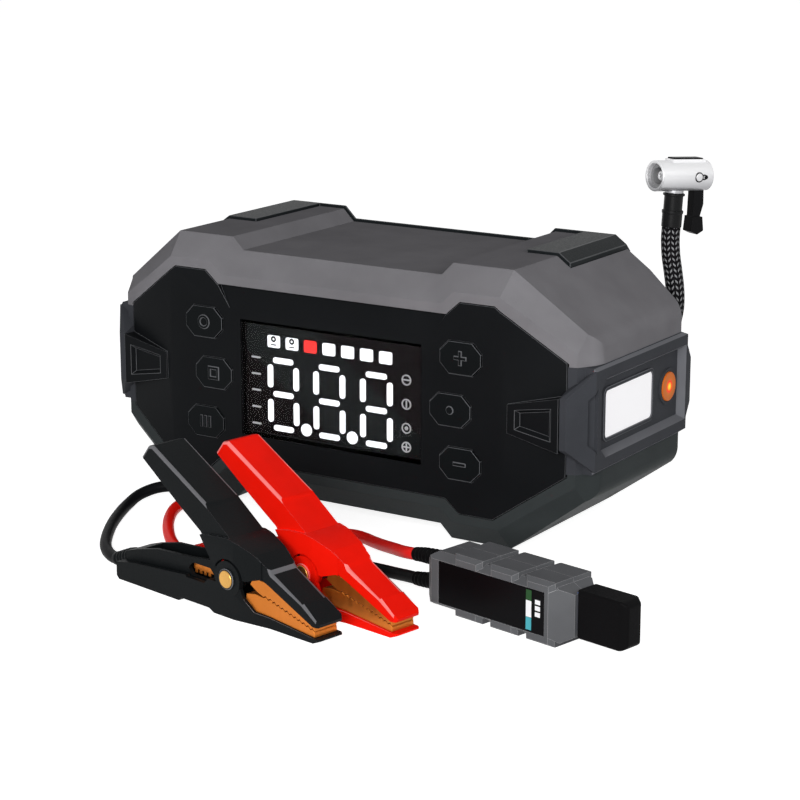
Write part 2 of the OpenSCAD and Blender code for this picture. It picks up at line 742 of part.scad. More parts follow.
// ---- feet and screws ----
module feet() {
  color("#1a1a1a") for (x = [-feet_x, feet_x], y = [-feet_y, feet_y])
    translate([x, y, 0]) cylinder(d = feet_dia, h = feet_h);
}
module case_screws() {
  color("silver") translate([0, 0, mid_z]) for (x = [-boss_x, boss_x], y = [-boss_y, boss_y])
    translate([x, y, boss_floor]) difference() {
      union() {
        translate([0, 0, -2.4]) cylinder(d = screw_head, h = 2.4);
        cylinder(d = screw_dia, h = -boss_floor - fit);
        translate([0, 0, -boss_floor - fit]) cylinder(d = screw_dia - 0.5, h = 14);
      }
      translate([0, 0, -3]) cylinder(d = 2.6, h = 2, $fn = 6);
    }
}

// ---- battery and board ----
module battery_cells() {
  color("#3b6ea5") translate([0, 0, mid_z]) for (i = [0:cell_n - 1])
    translate([0, 0, cell_z0 + i * (cell_t + cell_gap)]) {
      block([cell_x0, cell_y0, 0], [cell_x1, cell_y1, cell_t + (i < cell_n - 1 ? cell_gap : 0)]);
      block([cell_x1, cell_y0 + 8, 2], [cell_x1 + 4, cell_y0 + 20, 3]);
      block([cell_x1, cell_y1 - 20, 2], [cell_x1 + 4, cell_y1 - 8, 3]);
    }
}
module main_board() {
  z = cell_top + 4;
  color("#1d5b3a") translate([0, 0, mid_z]) union() {
    block([cell_x0, cell_y0, z], [cell_x1 + 8, cell_y1, z + board_t]);
    for (x = [cell_x0 + 4, cell_x1 - 4], y = [cell_y0 + 4, cell_y1 - 4])
      block([x - 2, y - 2, cell_top], [x + 2, y + 2, z + eps]);
    for (i = [0:3]) block([cell_x0 + 8 + i * 20, -6, z + board_t - eps],
      [cell_x0 + 20 + i * 20, 8, z + board_t + 7]);
    block([cell_x0 + 6, 16, z + board_t - eps], [cell_x0 + 50, 30, z + board_t + 10]);
  }
}

// ---- air pump ----
gear_x = 70;
gear_z = 45;
pinion_x = gear_x;
pinion_z = gear_z + gear_mod * (pinion_teeth + crank_teeth) / 2;
plate_y0 = -2.7;
plate_y1 = 0;
pump_feet = [gear_x - 18, gear_x + 18];
foot_z = gear_z - 26 - mid_z;
gear_y0 = -8;
gear_y1 = plate_y0 - fit;
shaft_d = 4;
rod_y0 = gear_y0 - 9;
rod_y1 = gear_y0 - 4;
rod_y = (rod_y0 + rod_y1) / 2;
rod_l = 42;
head_l = 6;
cyl_x1 = gear_x - gear_mod * (crank_teeth / 2 + 1) - 2;
cyl_x0 = gear_x - crank_throw - rod_l - 1;
cyl_wall = 2.2;
barb_h = 19;

function involute(rb, r) = let (t = sqrt(max(0, r * r / (rb * rb) - 1))) t * 180 / PI - atan(t);
// Gear outline with a tooth at angle `phase`
module gear_outline(z, add, ded, phase) {
  slack = 0.12;
  pa = 25;
  r = gear_mod * z / 2;
  rb = r * cos(pa);
  ro = r + add * gear_mod;
  rr = r - ded * gear_mod;
  r0 = max(rb, rr);
  at_pitch = 90 / z - slack / r * 90 / PI + involute(rb, r);
  radii = [for (k = [0:3]) r0 + (ro - r0) * k / 3];
  half_tooth = concat([[rr, -at_pitch + involute(rb, r0)]],
    [for (k = [0:3]) [radii[k], -at_pitch + involute(rb, radii[k])]]);
  tooth = concat(half_tooth, [for (k = [4:-1:0]) [half_tooth[k][0], -half_tooth[k][1]]]);
  polygon([for (i = [0:z - 1]) for (q = tooth)
    let (a = phase + i * 360 / z + q[1]) q[0] * [cos(a), sin(a)]]);
}
module pump_block() {
  color("#a8abad") difference() {
    union() {
      block([gear_x - 24, plate_y0, gear_z - 24], [gear_x + 24, plate_y1, pinion_z + 17]);
      for (x = pump_feet) block([x - 4, plate_y0 - 4, mid_z + foot_z], [x + 4, plate_y1 + 4, gear_z - 23]);
      translate([cyl_x0, rod_y, gear_z]) rotate([0, 90, 0])
        cylinder(d = cylinder_bore + 2 * cyl_wall, h = cyl_x1 - cyl_x0);
      block([cyl_x0 + 2, rod_y + 4, gear_z - 7], [cyl_x1, plate_y1, gear_z + 7]);
      translate([gear_x, plate_y1, gear_z]) rotate([90, 0, 0])
        cylinder(d = shaft_d, h = plate_y1 - gear_y0 + 0.5);
    }
    translate([cyl_x0 - 1, rod_y, gear_z]) rotate([0, 90, 0])
      cylinder(d = cylinder_bore, h = cyl_x1 - cyl_x0 + 2);
    translate([pinion_x, plate_y1 + 1, pinion_z]) rotate([90, 0, 0]) cylinder(d = 8, h = 10);
  }
}
module cylinder_head() {
  color("#8f9295") translate([cyl_x0, rod_y, gear_z]) difference() {
    union() {
      rotate([0, -90, 0]) cylinder(d = cylinder_bore + 2 * cyl_wall + 2, h = 6);
      translate([-3, 0, 0]) cylinder(d = 4.6, h = barb_h);
    }
    translate([-3, 0, 2]) cylinder(d = 2.2, h = 40);
    translate([eps, 0, 0]) rotate([0, -90, 0]) cylinder(d = 5, h = 3);
  }
}
module pump_piston() {
  x_big = gear_x - crank_throw;
  color("#d9d4c4") translate([0, rod_y, gear_z]) difference() {
    union() {
      translate([x_big - rod_l, 0, 0]) rotate([0, 90, 0]) cylinder(d = cylinder_bore - 2 * run, h = head_l);
      block([x_big - rod_l + head_l - eps, rod_y0 - rod_y, -2.5], [x_big - 3, rod_y1 - rod_y, 2.5]);
      translate([x_big, rod_y1 - rod_y, 0]) rotate([90, 0, 0]) cylinder(r = 4.5, h = rod_y1 - rod_y0);
    }
    translate([x_big, 10, 0]) rotate([90, 0, 0]) cylinder(r = 2.3, h = 20);
  }
}
module crank_gear() {
  color("#e9e6dc") difference() {
    union() {
      translate([gear_x, gear_y1, gear_z]) rotate([90, 0, 0]) linear_extrude(gear_y1 - gear_y0)
        gear_outline(crank_teeth, 0.8, 1.25, 90);
      translate([gear_x - crank_throw, gear_y0 + eps, gear_z]) rotate([90, 0, 0])
        cylinder(r = 2, h = gear_y0 - rod_y1 - fit);
    }
    translate([gear_x, 5, gear_z]) rotate([90, 0, 0]) cylinder(d = shaft_d + 2 * run, h = 30);
  }
}
module pump_motor() {
  color("#b9bcc0") translate([pinion_x, 0, pinion_z]) difference() {
    union() {
      translate([0, plate_y1 + motor_l, 0]) rotate([90, 0, 0]) cylinder(d = motor_dia, h = motor_l);
      translate([0, plate_y1 + motor_l + 3, 0]) rotate([90, 0, 0]) cylinder(d = 10, h = 4);
    }
    translate([0, 60, 0]) rotate([90, 0, 0]) cylinder(d = 3 + 2 * run, h = 80);
  }
}
module motor_pinion() {
  color("#c9a24a") translate([pinion_x, 0, pinion_z]) {
    translate([0, gear_y1, 0]) rotate([90, 0, 0]) linear_extrude(gear_y1 - gear_y0)
      gear_outline(pinion_teeth, 0.8, 1.1, 90 + 180 / pinion_teeth);
    translate([0, plate_y1 + motor_l + 2, 0]) rotate([90, 0, 0])
      cylinder(d = 3, h = motor_l + 2 - gear_y1 + eps);
  }
}

// ---- tubes swept along a route ----
function unit(v) = v / norm(v);
function heading(p, i) = unit(i == 0 ? p[1] - p[0] : i == len(p) - 1 ? p[i] - p[i - 1]
  : unit(p[i] - p[i - 1]) + unit(p[i + 1] - p[i]));
// `ref` is a direction that the route never runs along
module tube(path, r, n, ref) {
  m = len(path);
  rings = [for (i = [0:m - 1]) let (d = heading(path, i), s = unit(cross(ref, d)), u = cross(d, s))
    for (k = [0:n - 1]) let (a = 360 * (k + 0.5) / n) path[i] + r * (s * cos(a) + u * sin(a))];
  polyhedron(points = rings, faces = concat([[for (k = [0:n - 1]) k]],
    [[for (k = [n - 1:-1:0]) (m - 1) * n + k]],
    [for (i = [0:m - 2]) for (k = [0:n - 1]) [i * n + k, (i + 1) * n + k, (i + 1) * n + (k + 1) % n]],
    [for (i = [0:m - 2]) for (k = [0:n - 1]) [i * n + k, (i + 1) * n + (k + 1) % n, i * n + (k + 1) % n]]),
    convexity = 8);
}

tube_route = [[19, -14.5, 64], [19, -14.5, 76], [21, -11, 88], [28, -3, 97], [38, 8, 102],
  [50, 20, 103], [60, 30, 102], [66, 38, 102], [66, 45.7, 102]];
module air_tube() {
  color("#cfd6da") tube(tube_route, 2.5, 8, [1, 0, 0]);
}

// ---- air hose ----
module hose_outlet() {
  color("#2a2c2e") translate([outlet_x, 0, mid_z + outlet_z]) union() {
    translate([0, half_d + fit + eps, 0]) rotate([90, 0, 0]) cylinder(d = stub_dia, h = stub_l);
    translate([0, hose_y + hose_dia / 2 + fit, 0]) rotate([90, 0, 0])
      cylinder(d = 11, h = hose_y + hose_dia / 2 - half_d);
    translate([-9, hose_y, 0]) rotate([0, 90, 0]) cylinder(d = hose_dia, h = 9);
  }
}
// Runs along the rear in its clips, round two bends, then up past the right shoulder
hose_route = [[57, 59, 102], [31, 59, 102], [5, 59, 102], [-21, 59, 102], [-48, 59, 102],
  [-75, 59, 102], [-93, 59, 97.2], [-106.2, 59, 84], [-111, 59, 71], [-111, 59, 61],
  [-106.2, 59, 48], [-93, 59, 34.8], [-75, 59, 30], [-48, 59, 30], [-21, 59, 30], [5, 59, 30],
  [31, 59, 30], [56, 59, 30], [77, 59.4, 30], [95, 59.9, 34.8], [108.2, 60.2, 48],
  [113, 60.4, 66], [113, 60.4, 75], [114.3, 60.4, 81.5], [116.6, 60.5, 89], [118.1, 60.7, 97],
  [117.9, 60.9, 105], [116.6, 61.2, 113], [115, 61.4, 121.5], [114.3, 61.7, 129], [114.4, 62, 134.9]];
module air_hose() {
  color("#232426") tube(hose_route, hose_dia / 2, 12, [0, 1, 0]);
}

// ---- chuck, drawn with the barrel's mouth along +X, the hose below its origin ----
chuck_at = [114.4, 62, 135];
chuck_turn = -116;
chuck_tip = -4;
sleeve_h = 16;
barrel_z = sleeve_h + chuck_dia / 2 + 0.6;
mouth_x = 12;
tail_x = mouth_x - chuck_l;
pin_x = tail_x + 4.6;
cavity_d = chuck_dia - 3;
cavity_l = 13;
slot_w = 5.4;
plunger_d = 4;
seal_l = 6.5;
seal_x = mouth_x - 2 - seal_l;
module at_chuck() {
  translate(chuck_at) rotate([0, chuck_tip, chuck_turn]) children();
}
module hose_sleeve() {
  color("#141516") at_chuck() union() {
    cylinder(d = hose_dia + 0.6, h = sleeve_h * 0.45);
    translate([0, 0, sleeve_h * 0.45 - eps]) cylinder(d = hose_dia, h = sleeve_h * 0.55);
    translate([0, 0, sleeve_h - eps]) cylinder(d = hose_dia - 2, h = 0.6 + chuck_dia / 2 - cavity_d / 2);
  }
}
module chuck_barrel() {
  color("#dcdcde") at_chuck() translate([0, 0, barrel_z]) difference() {
    union() {
      translate([tail_x, 0, 0]) rotate([0, 90, 0]) cylinder(d = chuck_dia, h = chuck_l);
      // flat along the top
      block([tail_x + 2.5, -3.2, chuck_dia / 2 - 1.2], [mouth_x - 7.5, 3.2, chuck_dia / 2 + 0.7]);
    }
    translate([mouth_x - cavity_l, 0, 0]) rotate([0, 90, 0]) cylinder(d = cavity_d, h = cavity_l + 1);
    translate([tail_x - 1, 0, 0]) rotate([0, 90, 0]) cylinder(d = plunger_d + 2 * run, h = chuck_l);
    // slot for the lever and its cam
    block([tail_x + 0.8, -slot_w / 2, -chuck_dia], [pin_x + 5.2, slot_w / 2, 4.5]);
    block([tail_x - 1, -slot_w / 2, -chuck_dia], [tail_x + 1, slot_w / 2, 4.5]);
    translate([pin_x, chuck_dia, 0]) rotate([90, 0, 0]) cylinder(r = 1 + run, h = 2 * chuck_dia);
    translate([0, 0, -barrel_z]) cylinder(d = hose_dia - 2 + 2 * run, h = barrel_z);
  }
}
module chuck_seal() {
  color("#1a1a1a") at_chuck() translate([seal_x, 0, barrel_z]) rotate([0, 90, 0]) difference() {
    cylinder(d = cavity_d, h = seal_l);
    translate([0, 0, -1]) cylinder(d = valve_bore, h = seal_l + 2);
  }
}
// Pushed forward by the lever's cam
plunger_travel = 1.2;
cam_r = 2.6;
module chuck_plunger() {
  x0 = pin_x + cam_r + 0.3;
  color("#e8e8ea") at_chuck() translate([0, 0, barrel_z]) union() {
    translate([x0, 0, 0]) rotate([0, 90, 0]) cylinder(d = plunger_d, h = seal_x - 2.2 - x0);
    translate([seal_x - 3.4, 0, 0]) rotate([0, 90, 0]) cylinder(d = 7, h = 1.8);
  }
}
module chuck_lever() {
  w = slot_w - 0.6;
  drop = chuck_dia / 2 + 6;
  color("#161718") at_chuck() translate([pin_x, 0, barrel_z]) union() {
    rotate([90, 0, 0]) cylinder(r = cam_r, h = w, center = true);
    translate([0, 0, 1.4]) rotate([90, 0, 0]) cylinder(r = plunger_travel + cam_r - 1.4, h = w, center = true);
    rotate([90, 0, 0]) cylinder(r = 1, h = chuck_dia + 0.6, center = true);
    translate([0, w / 2, 0]) rotate([90, 0, 0]) linear_extrude(w)
      polygon([[-cam_r, 0], [cam_r, 0], [2.2, -drop], [2, -20], [-2, -20], [-3.8, -drop]]);
    translate([0, w / 2 + 0.8, 0]) rotate([90, 0, 0]) linear_extrude(w + 1.6)
      polygon([[-3.2, -19], [2.6, -19], [3, -26], [-1, -27.5], [-4.4, -25.6]]);
  }
}

// ---- lead set ----
lay_angle = -12;
box_at = [95.8, -112.8, 0];
black_at = [-33.8, -154.8, 0];
red_at = [-11.4, -132.4, 0];
module lay(at) {
  translate(at) rotate([0, 0, lay_angle]) children();
}

pad_pitch = 19.5;
pad_h = 1.6;
box_x0 = 2;
box_x1 = box_x0 + box_l;
window_x0 = 12;
window_l = 58;
window_h = 18.5;
window_t = 1.4;
plug_w = 7.6;
plug_h = 16.2;
plug_z = box_h / 2 + 1.1;
lead_z = [7.2, 17.8];

// Length outline from above, and its height outline
module box_form(t) {
  w = box_w / 2 - t;
  z0 = pad_h + t;
  z1 = box_h - pad_h - t;
  intersection() {
    linear_extrude(big) polygon([[box_x0 + t, -w + 5], [box_x0 + 6 + t, -w], [box_x1 - 8 - t, -w],
      [box_x1 - t, -w + 7], [box_x1 - t, w - 7], [box_x1 - 8 - t, w], [box_x0 + 6 + t, w], [box_x0 + t, w - 5]]);
    along_x(box_x0, box_x1) polygon([[-w, z0 + 2.5], [-w + 4, z0], [w - 4, z0], [w, z0 + 2.5],
      [w, z1 - 2.5], [w - 4, z1], [-w + 4, z1], [-w, z1 - 2.5]]);
    along_y(-big, big) polygon([[box_x0 + t, z0 + 3], [box_x0 + 4 + t, z0],
      [box_x1 - 5 - t, z0], [box_x1 - t, z0 + 3], [box_x1 - t, z1 - 3], [box_x1 - 7 - t, z1], [box_x0 + 7 + t, z1], [box_x0 + t, z1 - 5]]);
  }
}
// Grip pads over the top and bottom edges, level with the front and rear
module box_pads() {
  for (i = [0:2]) intersection() {
    box_form(-pad_h);
    translate([box_x0 + 25 + i * pad_pitch, 0, 0]) linear_extrude(big)
      polygon([[-8, -box_w / 2 + 3], [-5, -box_w / 2], [6, -box_w / 2], [8, -box_w / 2 + 2],
        [8, box_w / 2 - 2], [6, box_w / 2], [-5, box_w / 2], [-8, box_w / 2 - 3]]);
    difference() {
      block([-big, -big, -1], [big, big, box_h + 1]);
      block([-big, -big, pad_h + 3], [big, big, box_h - pad_h - 3]);
    }
  }
}
module box_solid() {
  difference() {
    union() {
      box_form(0);
      box_pads();
    }
    box_form(2);
    translate([box_x1 - 5, -plug_w / 2, plug_z - plug_h / 2]) cube([10, plug_w, plug_h]);
    for (z = lead_z) translate([box_x0 - 1, 0, z]) rotate([0, 90, 0]) cylinder(d = lead_dia + 1, h = 6);
  }
}
module box_front() {
  color("#6a6c70") lay(box_at) difference() {
    intersection() {
      box_solid();
      block([-big, -big, -big], [big, 0, big]);
    }
    block([window_x0, -box_w / 2 - 1, box_h / 2 - window_h / 2],
      [window_x0 + window_l, -box_w / 2 + window_t, box_h / 2 + window_h / 2]);
  }
}
module box_rear() {
  color("#6a6c70") lay(box_at) intersection() {
    box_solid();
    block([-big, 0, -big], [big, big, big]);
  }
}
module box_window() {
  color("#101112") lay(box_at) block([window_x0 + 0.1, -box_w / 2, box_h / 2 - window_h / 2 + 0.1],
    [window_x0 + window_l - 0.1, -box_w / 2 + window_t, box_h / 2 + window_h / 2 - 0.1]);
}
module box_board() {
  color("#1d5b3a") lay(box_at) union() {
    block([box_x0 + 10, -0.8, pad_h + 2], [box_x1 - 10, 0.8, box_h - pad_h - 2]);
    block([box_x0 + 16, 0.7, 6], [box_x0 + 34, 8, 20]);
    block([box_x0 + 40, 0.7, 6], [box_x0 + 58, 8, 20]);
    // lead ends in their crimps
    for (z = lead_z) translate([box_x0 + 5, 0, z]) rotate([0, 90, 0]) cylinder(d = lead_dia, h = 6);
  }
}
plug_l = 14;
pin_l = 8;
pin_d = 5;
module jump_plug() {
  color("#2f6fd0") lay(box_at) union() {
    block([box_x1 - 5, -plug_w / 2, plug_z - plug_h / 2], [box_x1 + plug_l, plug_w / 2, plug_z + plug_h / 2]);
    for (z = [-4.6, 4.6]) translate([box_x1 + plug_l - eps, 0, plug_z + z]) rotate([0, 90, 0])
      cylinder(d = pin_d, h = pin_l);
  }
}
cap_t = 1.8;
cap_end = 3;
cap_x0 = box_x1 + 1;
cap_l = plug_l + pin_l + cap_end - 0.5;
module plug_cap() {
  w = plug_w / 2 + 0.3;
  h = plug_h / 2 + 0.3;
  color("#141516") lay(box_at) translate([0, 0, plug_z]) difference() {
    intersection() {
      block([cap_x0, -w - cap_t, -h - cap_t], [cap_x0 + cap_l, w + cap_t, h + cap_t]);
      linear_extrude(big, center = true) polygon([[cap_x0 - 1, -w - cap_t], [cap_x0 + cap_l - 3.5, -w - cap_t],
        [cap_x0 + cap_l, -w], [cap_x0 + cap_l, w], [cap_x0 + cap_l - 3.5, w + cap_t], [cap_x0 - 1, w + cap_t]]);
      along_y(-big, big) polygon([[cap_x0 - 1, -h - cap_t], [cap_x0 + cap_l - 2.5, -h - cap_t],
        [cap_x0 + cap_l, -h], [cap_x0 + cap_l, h], [cap_x0 + cap_l - 2.5, h + cap_t], [cap_x0 - 1, h + cap_t]]);
    }
    block([cap_x0 - 1, -w, -h], [cap_x0 + cap_l - cap_end, w, h]);
  }
}

// Routes of the two leads, from a clamp to the box, lying on the surface
black_route = [[-25.1, -156.7, 7.6], [-33.8, -154.8, 7.6], [-39.3, -153.8, 6], [-46.4, -152, 3.6],
  [-55.5, -146.5, 2.8], [-64.4, -138.2, 2.7], [-73.7, -125.7, 2.7], [-83.2, -110.5, 2.7],
  [-91, -95, 2.9], [-94.6, -84.5, 3.8], [-95.4, -76, 5.6], [-92.4, -68.6, 7.4],
  [-87, -64, 8.4], [-80.5, -62, 8.6], [-73.5, -62.8, 8.6], [-67, -66.4, 7.8], [-60, -72.6, 5.4],
  [-52, -80.6, 3.4], [-43, -88.6, 2.7], [-31, -95.8, 2.7], [-16, -100.6, 2.7], [2, -102, 2.7],
  [22, -101.6, 2.7], [42, -100.6, 2.7], [57, -100.6, 2.7], [67, -102.4, 3.2], [76, -106.2, 4.6],
  [85.5, -110.6, 6.2], [93, -112.2, 7.1], [102.6, -114.2, 7.2]];
red_route = [[-2.7, -134.3, 7.6], [-11.4, -132.4, 7.6], [-17.1, -131.4, 6], [-25.4, -129.7, 3.7],
  [-36.8, -122.9, 2.8], [-48.1, -112.5, 2.7], [-59.5, -99.2, 2.7], [-68.2, -86.4, 2.7], [-73.4, -76, 2.7],
  [-75.2, -68, 2.7], [-73.2, -61, 2.7], [-67.2, -57.4, 2.7], [-59.8, -58.8, 2.7], [-48.4, -66.8, 2.7],
  [-35, -78.6, 2.7], [-23, -88.4, 2.7], [-14.5, -93.4, 2.7], [-6.5, -94.6, 2.7], [0.6, -91.4, 2.7],
  [5, -84.6, 2.7], [7.6, -76.4, 2.7], [12.6, -69, 2.7], [21, -66.2, 2.9], [30, -69.6, 3.8],
  [39, -76.2, 5.4], [49.4, -84.4, 7.8], [60.4, -93, 10.6], [70, -101, 13.2], [80, -108.4, 16],
  [87.5, -111, 17.4], [95, -112.6, 17.8], [102.6, -114.2, 17.8]];
module lead_black() {
  color("#17181a") tube(black_route, lead_dia / 2, 8, [0, 0, 1]);
}
module lead_red() {
  color("#c8140a") tube(red_route, lead_dia / 2, 8, [0, 0, 1]);
}

// ---- clamp: X runs from the heel to the tip, the lower arm lies on Z = 0 ----
pivot = [72.7, 16.8];
clamp_l = 123.5;
ear_r = 7.6;
ear_gap = 0.35;
grip_w = clamp_w / 2 - clamp_wall;
handle_w = clamp_w / 2 - 1.2;
hollow_w = grip_w - ear_gap + 0.1;
nest_w = grip_w - 1.4;
nest_wall = 1.8;
nose_w = 7.4;
nose_x = 95;
lead_seat = 9;
exit_z = 7.6;

// Side view drawn in X and Z, across the clamp from -w to w
module side(w, points) {
  along_y(-w, w) polygon(points);
}
// Plan of an arm: w to each side as far as the pivot, then drawn in to n along the nose
module arm_plan(w, n) {
  linear_extrude(big, center = true) polygon([[-10, -w], [pivot[0] + 4, -w], [nose_x, -n],
    [clamp_l - 1.5, -n + 0.4], [clamp_l + 1, -n + 2], [clamp_l + 1, n - 2], [clamp_l - 1.5, n - 0.4],
    [nose_x, n], [pivot[0] + 4, w], [-10, w]]);
}
// Where the copper sits on the two arms, and the line along which the jaws meet
seat_low = [[clamp_l - 3, 2.2], [87, 5.4], [81.6, 10]];
seat_high = [[clamp_l - 3.4, 6.9], [95.4, 17.9]];
meet = [[91, 12.2], [clamp_l - 3.2, 4.4]];
tooth_n = 12;
tooth_h = 0.9;
lower_side = concat([[0, 1.5], [1.5, 0], [41.5, 0], [43.2, 1.5], [61, 1.5], [64, 0], [clamp_l - 3.5, 0],
  [clamp_l, 1.4], [clamp_l, 2.2]], seat_low, [[80, 14], [62, 14], [46, 12.4], [12, 9.6], [0, 7.6]]);
nest_side = [[2.5, 3], [2.5, 12.2], [10, 14.6], [23, 17.6], [45.6, 19.2], [62, 21.3], [62, 3]];
brow = [[73.5, 34.2], [79, 33], [87.5, 29.8], [nose_x, 24.8]];
upper_side = concat([[17.8, 58.1], [22, 63.4], [25, 64], [57.8, 46], [59.8, 43.8]], brow,
  [[nose_x + 1.6, 23.3], [clamp_l - 10, 14.3], [clamp_l - 9.4, 15], [clamp_l - 1.2, 9.9],
  [clamp_l, 8.4], [clamp_l - 0.6, 7]], seat_high,
  [[84, 23.4], [80.6, 22], [72.7, 21], [64, 23], [55, 33.3], [40.6, 42.5]]);
cheek_side = concat([[55.8, 32.2], [62, 33.4], [68, 33.9]], brow,
  [[95.4, 17.9], [90, 19.8], [82.5, 17.6], [64, 20.6], [61.5, 24.1]]);

module lower_arm(c) {
  color(c) difference() {
    union() {
      difference() {
        intersection() {
          side(clamp_w / 2, lower_side);
          arm_plan(clamp_w / 2, nose_w);
        }
        side(grip_w, [[13, 3], [82, 3], [82, 40], [13, 40]]);
      }
      for (s = [-1, 1]) translate([pivot[0], s * (clamp_w / 2 - clamp_wall / 2), pivot[1]])
        rotate([90, 0, 0]) cylinder(r = ear_r, h = clamp_wall, center = true);
      // nest for the lead and the spring between the walls
      difference() {
        side(nest_w, nest_side);
        side(nest_w - nest_wall, [[13, 3], [70, 3], [70, 40], [13, 40]]);
      }
      side(grip_w + eps, [[13, 2], [62, 2], [62, 3 + eps], [13, 3 + eps]]);
    }
    translate([pivot[0], 0, pivot[1]]) rotate([90, 0, 0]) cylinder(d = rivet_dia, h = 60, center = true);
    // look-through over the spring
    translate([52.5, 0, 14.4]) along_y(-clamp_w, clamp_w) octagon(16, 5.6, 2.4);
    translate([-1, 0, exit_z]) rotate([0, 90, 0]) cylinder(d = lead_dia + 0.6, h = lead_seat + 1);
  }
}
module upper_arm(c) {
  color(c) difference() {
    union() {
      difference() {
        union() {
          intersection() {
            side(handle_w, upper_side);
            arm_plan(handle_w, nose_w);
          }
          // cheeks that reach down beside the pivot
          intersection() {
            difference() {
              side(clamp_w / 2, cheek_side);
              block([-big, -hollow_w, -big], [big, hollow_w, big]);
            }
            arm_plan(clamp_w / 2, nose_w);
          }
        }
        // relief round the lower arm's ears
        for (s = [-1, 1]) translate([pivot[0], s * (clamp_w / 2), pivot[1]]) rotate([90, 0, 0])
          cylinder(r = ear_r + 0.9, h = 2 * (clamp_wall + ear_gap), center = true);
        // hollow handle, open underneath
        side(hollow_w, [[21, 40], [22, 60.3], [57.5, 41.6], [72, 31], [81, 28], [81, 10], [60, 8]]);
      }
      for (s = [-1, 1]) translate([pivot[0], s * (grip_w - ear_gap - 1.5), pivot[1]]) {
        rotate([90, 0, 0]) cylinder(r = 6, h = 3, center = true);
        block([-4.5, -1.5, 0], [4.5, 1.5, 13.5]);
      }
    }
    translate([pivot[0], 0, pivot[1]]) rotate([90, 0, 0])
      cylinder(d = rivet_dia + 2 * run, h = 60, center = true);
  }
}
// Copper jaws with saw teeth along the meeting line
function meet_at(k, lift) = let (p = meet[0] + (meet[1] - meet[0]) * k / tooth_n) [p[0], p[1] + lift];
function tooth_line(lift) =
  [for (k = [0:tooth_n - 1]) each [meet_at(k, lift), meet_at(k + 0.5, lift + tooth_h)]];
module jaw(points) {
  color("#c8793a") intersection() {
    side(clamp_w / 2, points);
    arm_plan(clamp_w / 2 - 1.6, nose_w - 0.8);
  }
}
module lower_jaw() {
  jaw(concat(seat_low, [[82, 12.4], [87, 13]], tooth_line(0), [meet[1]]));
}
module upper_jaw() {
  jaw(concat(seat_high, [[86, 20.5], [84, 16.6], [88, 13.9]], tooth_line(0.35), [meet[1] + [0, 0.35]]));
}
// Torsion spring round the rivet, its legs along the two arms
spring_r = 4.1;
spring_wire = 1.3;
spring_turns = 4;
spring_pitch = 1.8;
leg_low = 193.6;
leg_high = 137;
leg_low_l = 38;
leg_high_l = 34;
spring_span = spring_turns * 360 + 180 + leg_high - leg_low;
function spring_point(a) = [pivot[0] + spring_r * cos(leg_high - 90 - a),
  (a - spring_span / 2) / 360 * spring_pitch, pivot[1] + spring_r * sin(leg_high - 90 - a)];
spring_steps = ceil(spring_span / 45);
function spring_path() = let (
  coil = [for (i = [0:spring_steps]) spring_point(i * spring_span / spring_steps)],
  up = [cos(leg_high), 0, sin(leg_high)],
  down = [cos(leg_low), 0, sin(leg_low)])
  concat([coil[0] + leg_high_l * up, coil[0] + 3 * up], coil,
    [coil[spring_steps] + 3 * down, coil[spring_steps] + leg_low_l * down]);
// Least gap of a wire of diameter d to itself, between points at least `apart` rings apart
function self_gap(path, d, apart) = min([for (i = [0:len(path) - 1 - apart])
  for (j = [i + apart:len(path) - 1]) norm(path[i] - path[j]) - d]);
echo(spring_gap = self_gap(spring_path(), spring_wire, 5));
module torsion_spring() {
  color("#b9bcc0") tube(spring_path(), spring_wire / 2, 6, [0, 1, 0]);
}
module rivet() {
  translate([pivot[0], 0, pivot[1]]) rotate([90, 0, 0]) {
    cylinder(d = rivet_dia, h = clamp_w + 0.2, center = true);
    for (s = [-1, 1]) translate([0, 0, s * (clamp_w / 2 + 0.6)])
      cylinder(d = rivet_dia + 2.4, h = 1.2, center = true);
  }
}
module clamp_rivets() {
  color("#c9a24a") {
    lay(black_at) rivet();
    lay(red_at) rivet();
  }
}
black = "#2a2c30";
red = "#e41a0a";

upper_shell();
lower_shell();
left_bumper();
right_bumper();
front_fascia();
rear_shell();
display_window();
front_board();
display_segments();
key_cap(-1, 1, "ring");  // key_left_top
key_cap(-1, 0, "box");  // key_left_mid
key_cap(-1, -1, "bars");  // key_left_low
key_cap(1, 1, "plus");  // key_right_top
key_cap(1, 0, "dot");  // key_right_mid
key_cap(1, -1, "minus");  // key_right_low
power_button();
lamp_window();
lamp_board();
port_cover();
jump_socket();
port_board();
feet();
case_screws();
battery_cells();
main_board();
pump_block();
cylinder_head();
pump_piston();
crank_gear();
pump_motor();
motor_pinion();
air_tube();
hose_outlet();
air_hose();
hose_sleeve();
chuck_barrel();
chuck_seal();
chuck_plunger();
chuck_lever();
box_front();
box_rear();
box_window();
box_board();
jump_plug();
plug_cap();
lead_black();
lead_red();
clamp_rivets();
lay(black_at) lower_arm(black);  // black_lower_arm
lay(black_at) upper_arm(black);  // black_upper_arm
lay(black_at) lower_jaw();  // black_lower_jaw
lay(black_at) upper_jaw();  // black_upper_jaw
lay(black_at) torsion_spring();  // black_spring
lay(red_at) lower_arm(red);  // red_lower_arm
lay(red_at) upper_arm(red);  // red_upper_arm
lay(red_at) lower_jaw();  // red_lower_jaw
lay(red_at) upper_jaw();  // red_upper_jaw
lay(red_at) torsion_spring();  // red_spring
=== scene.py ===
import json
import math

import bmesh
import bpy
from mathutils import Matrix, Vector

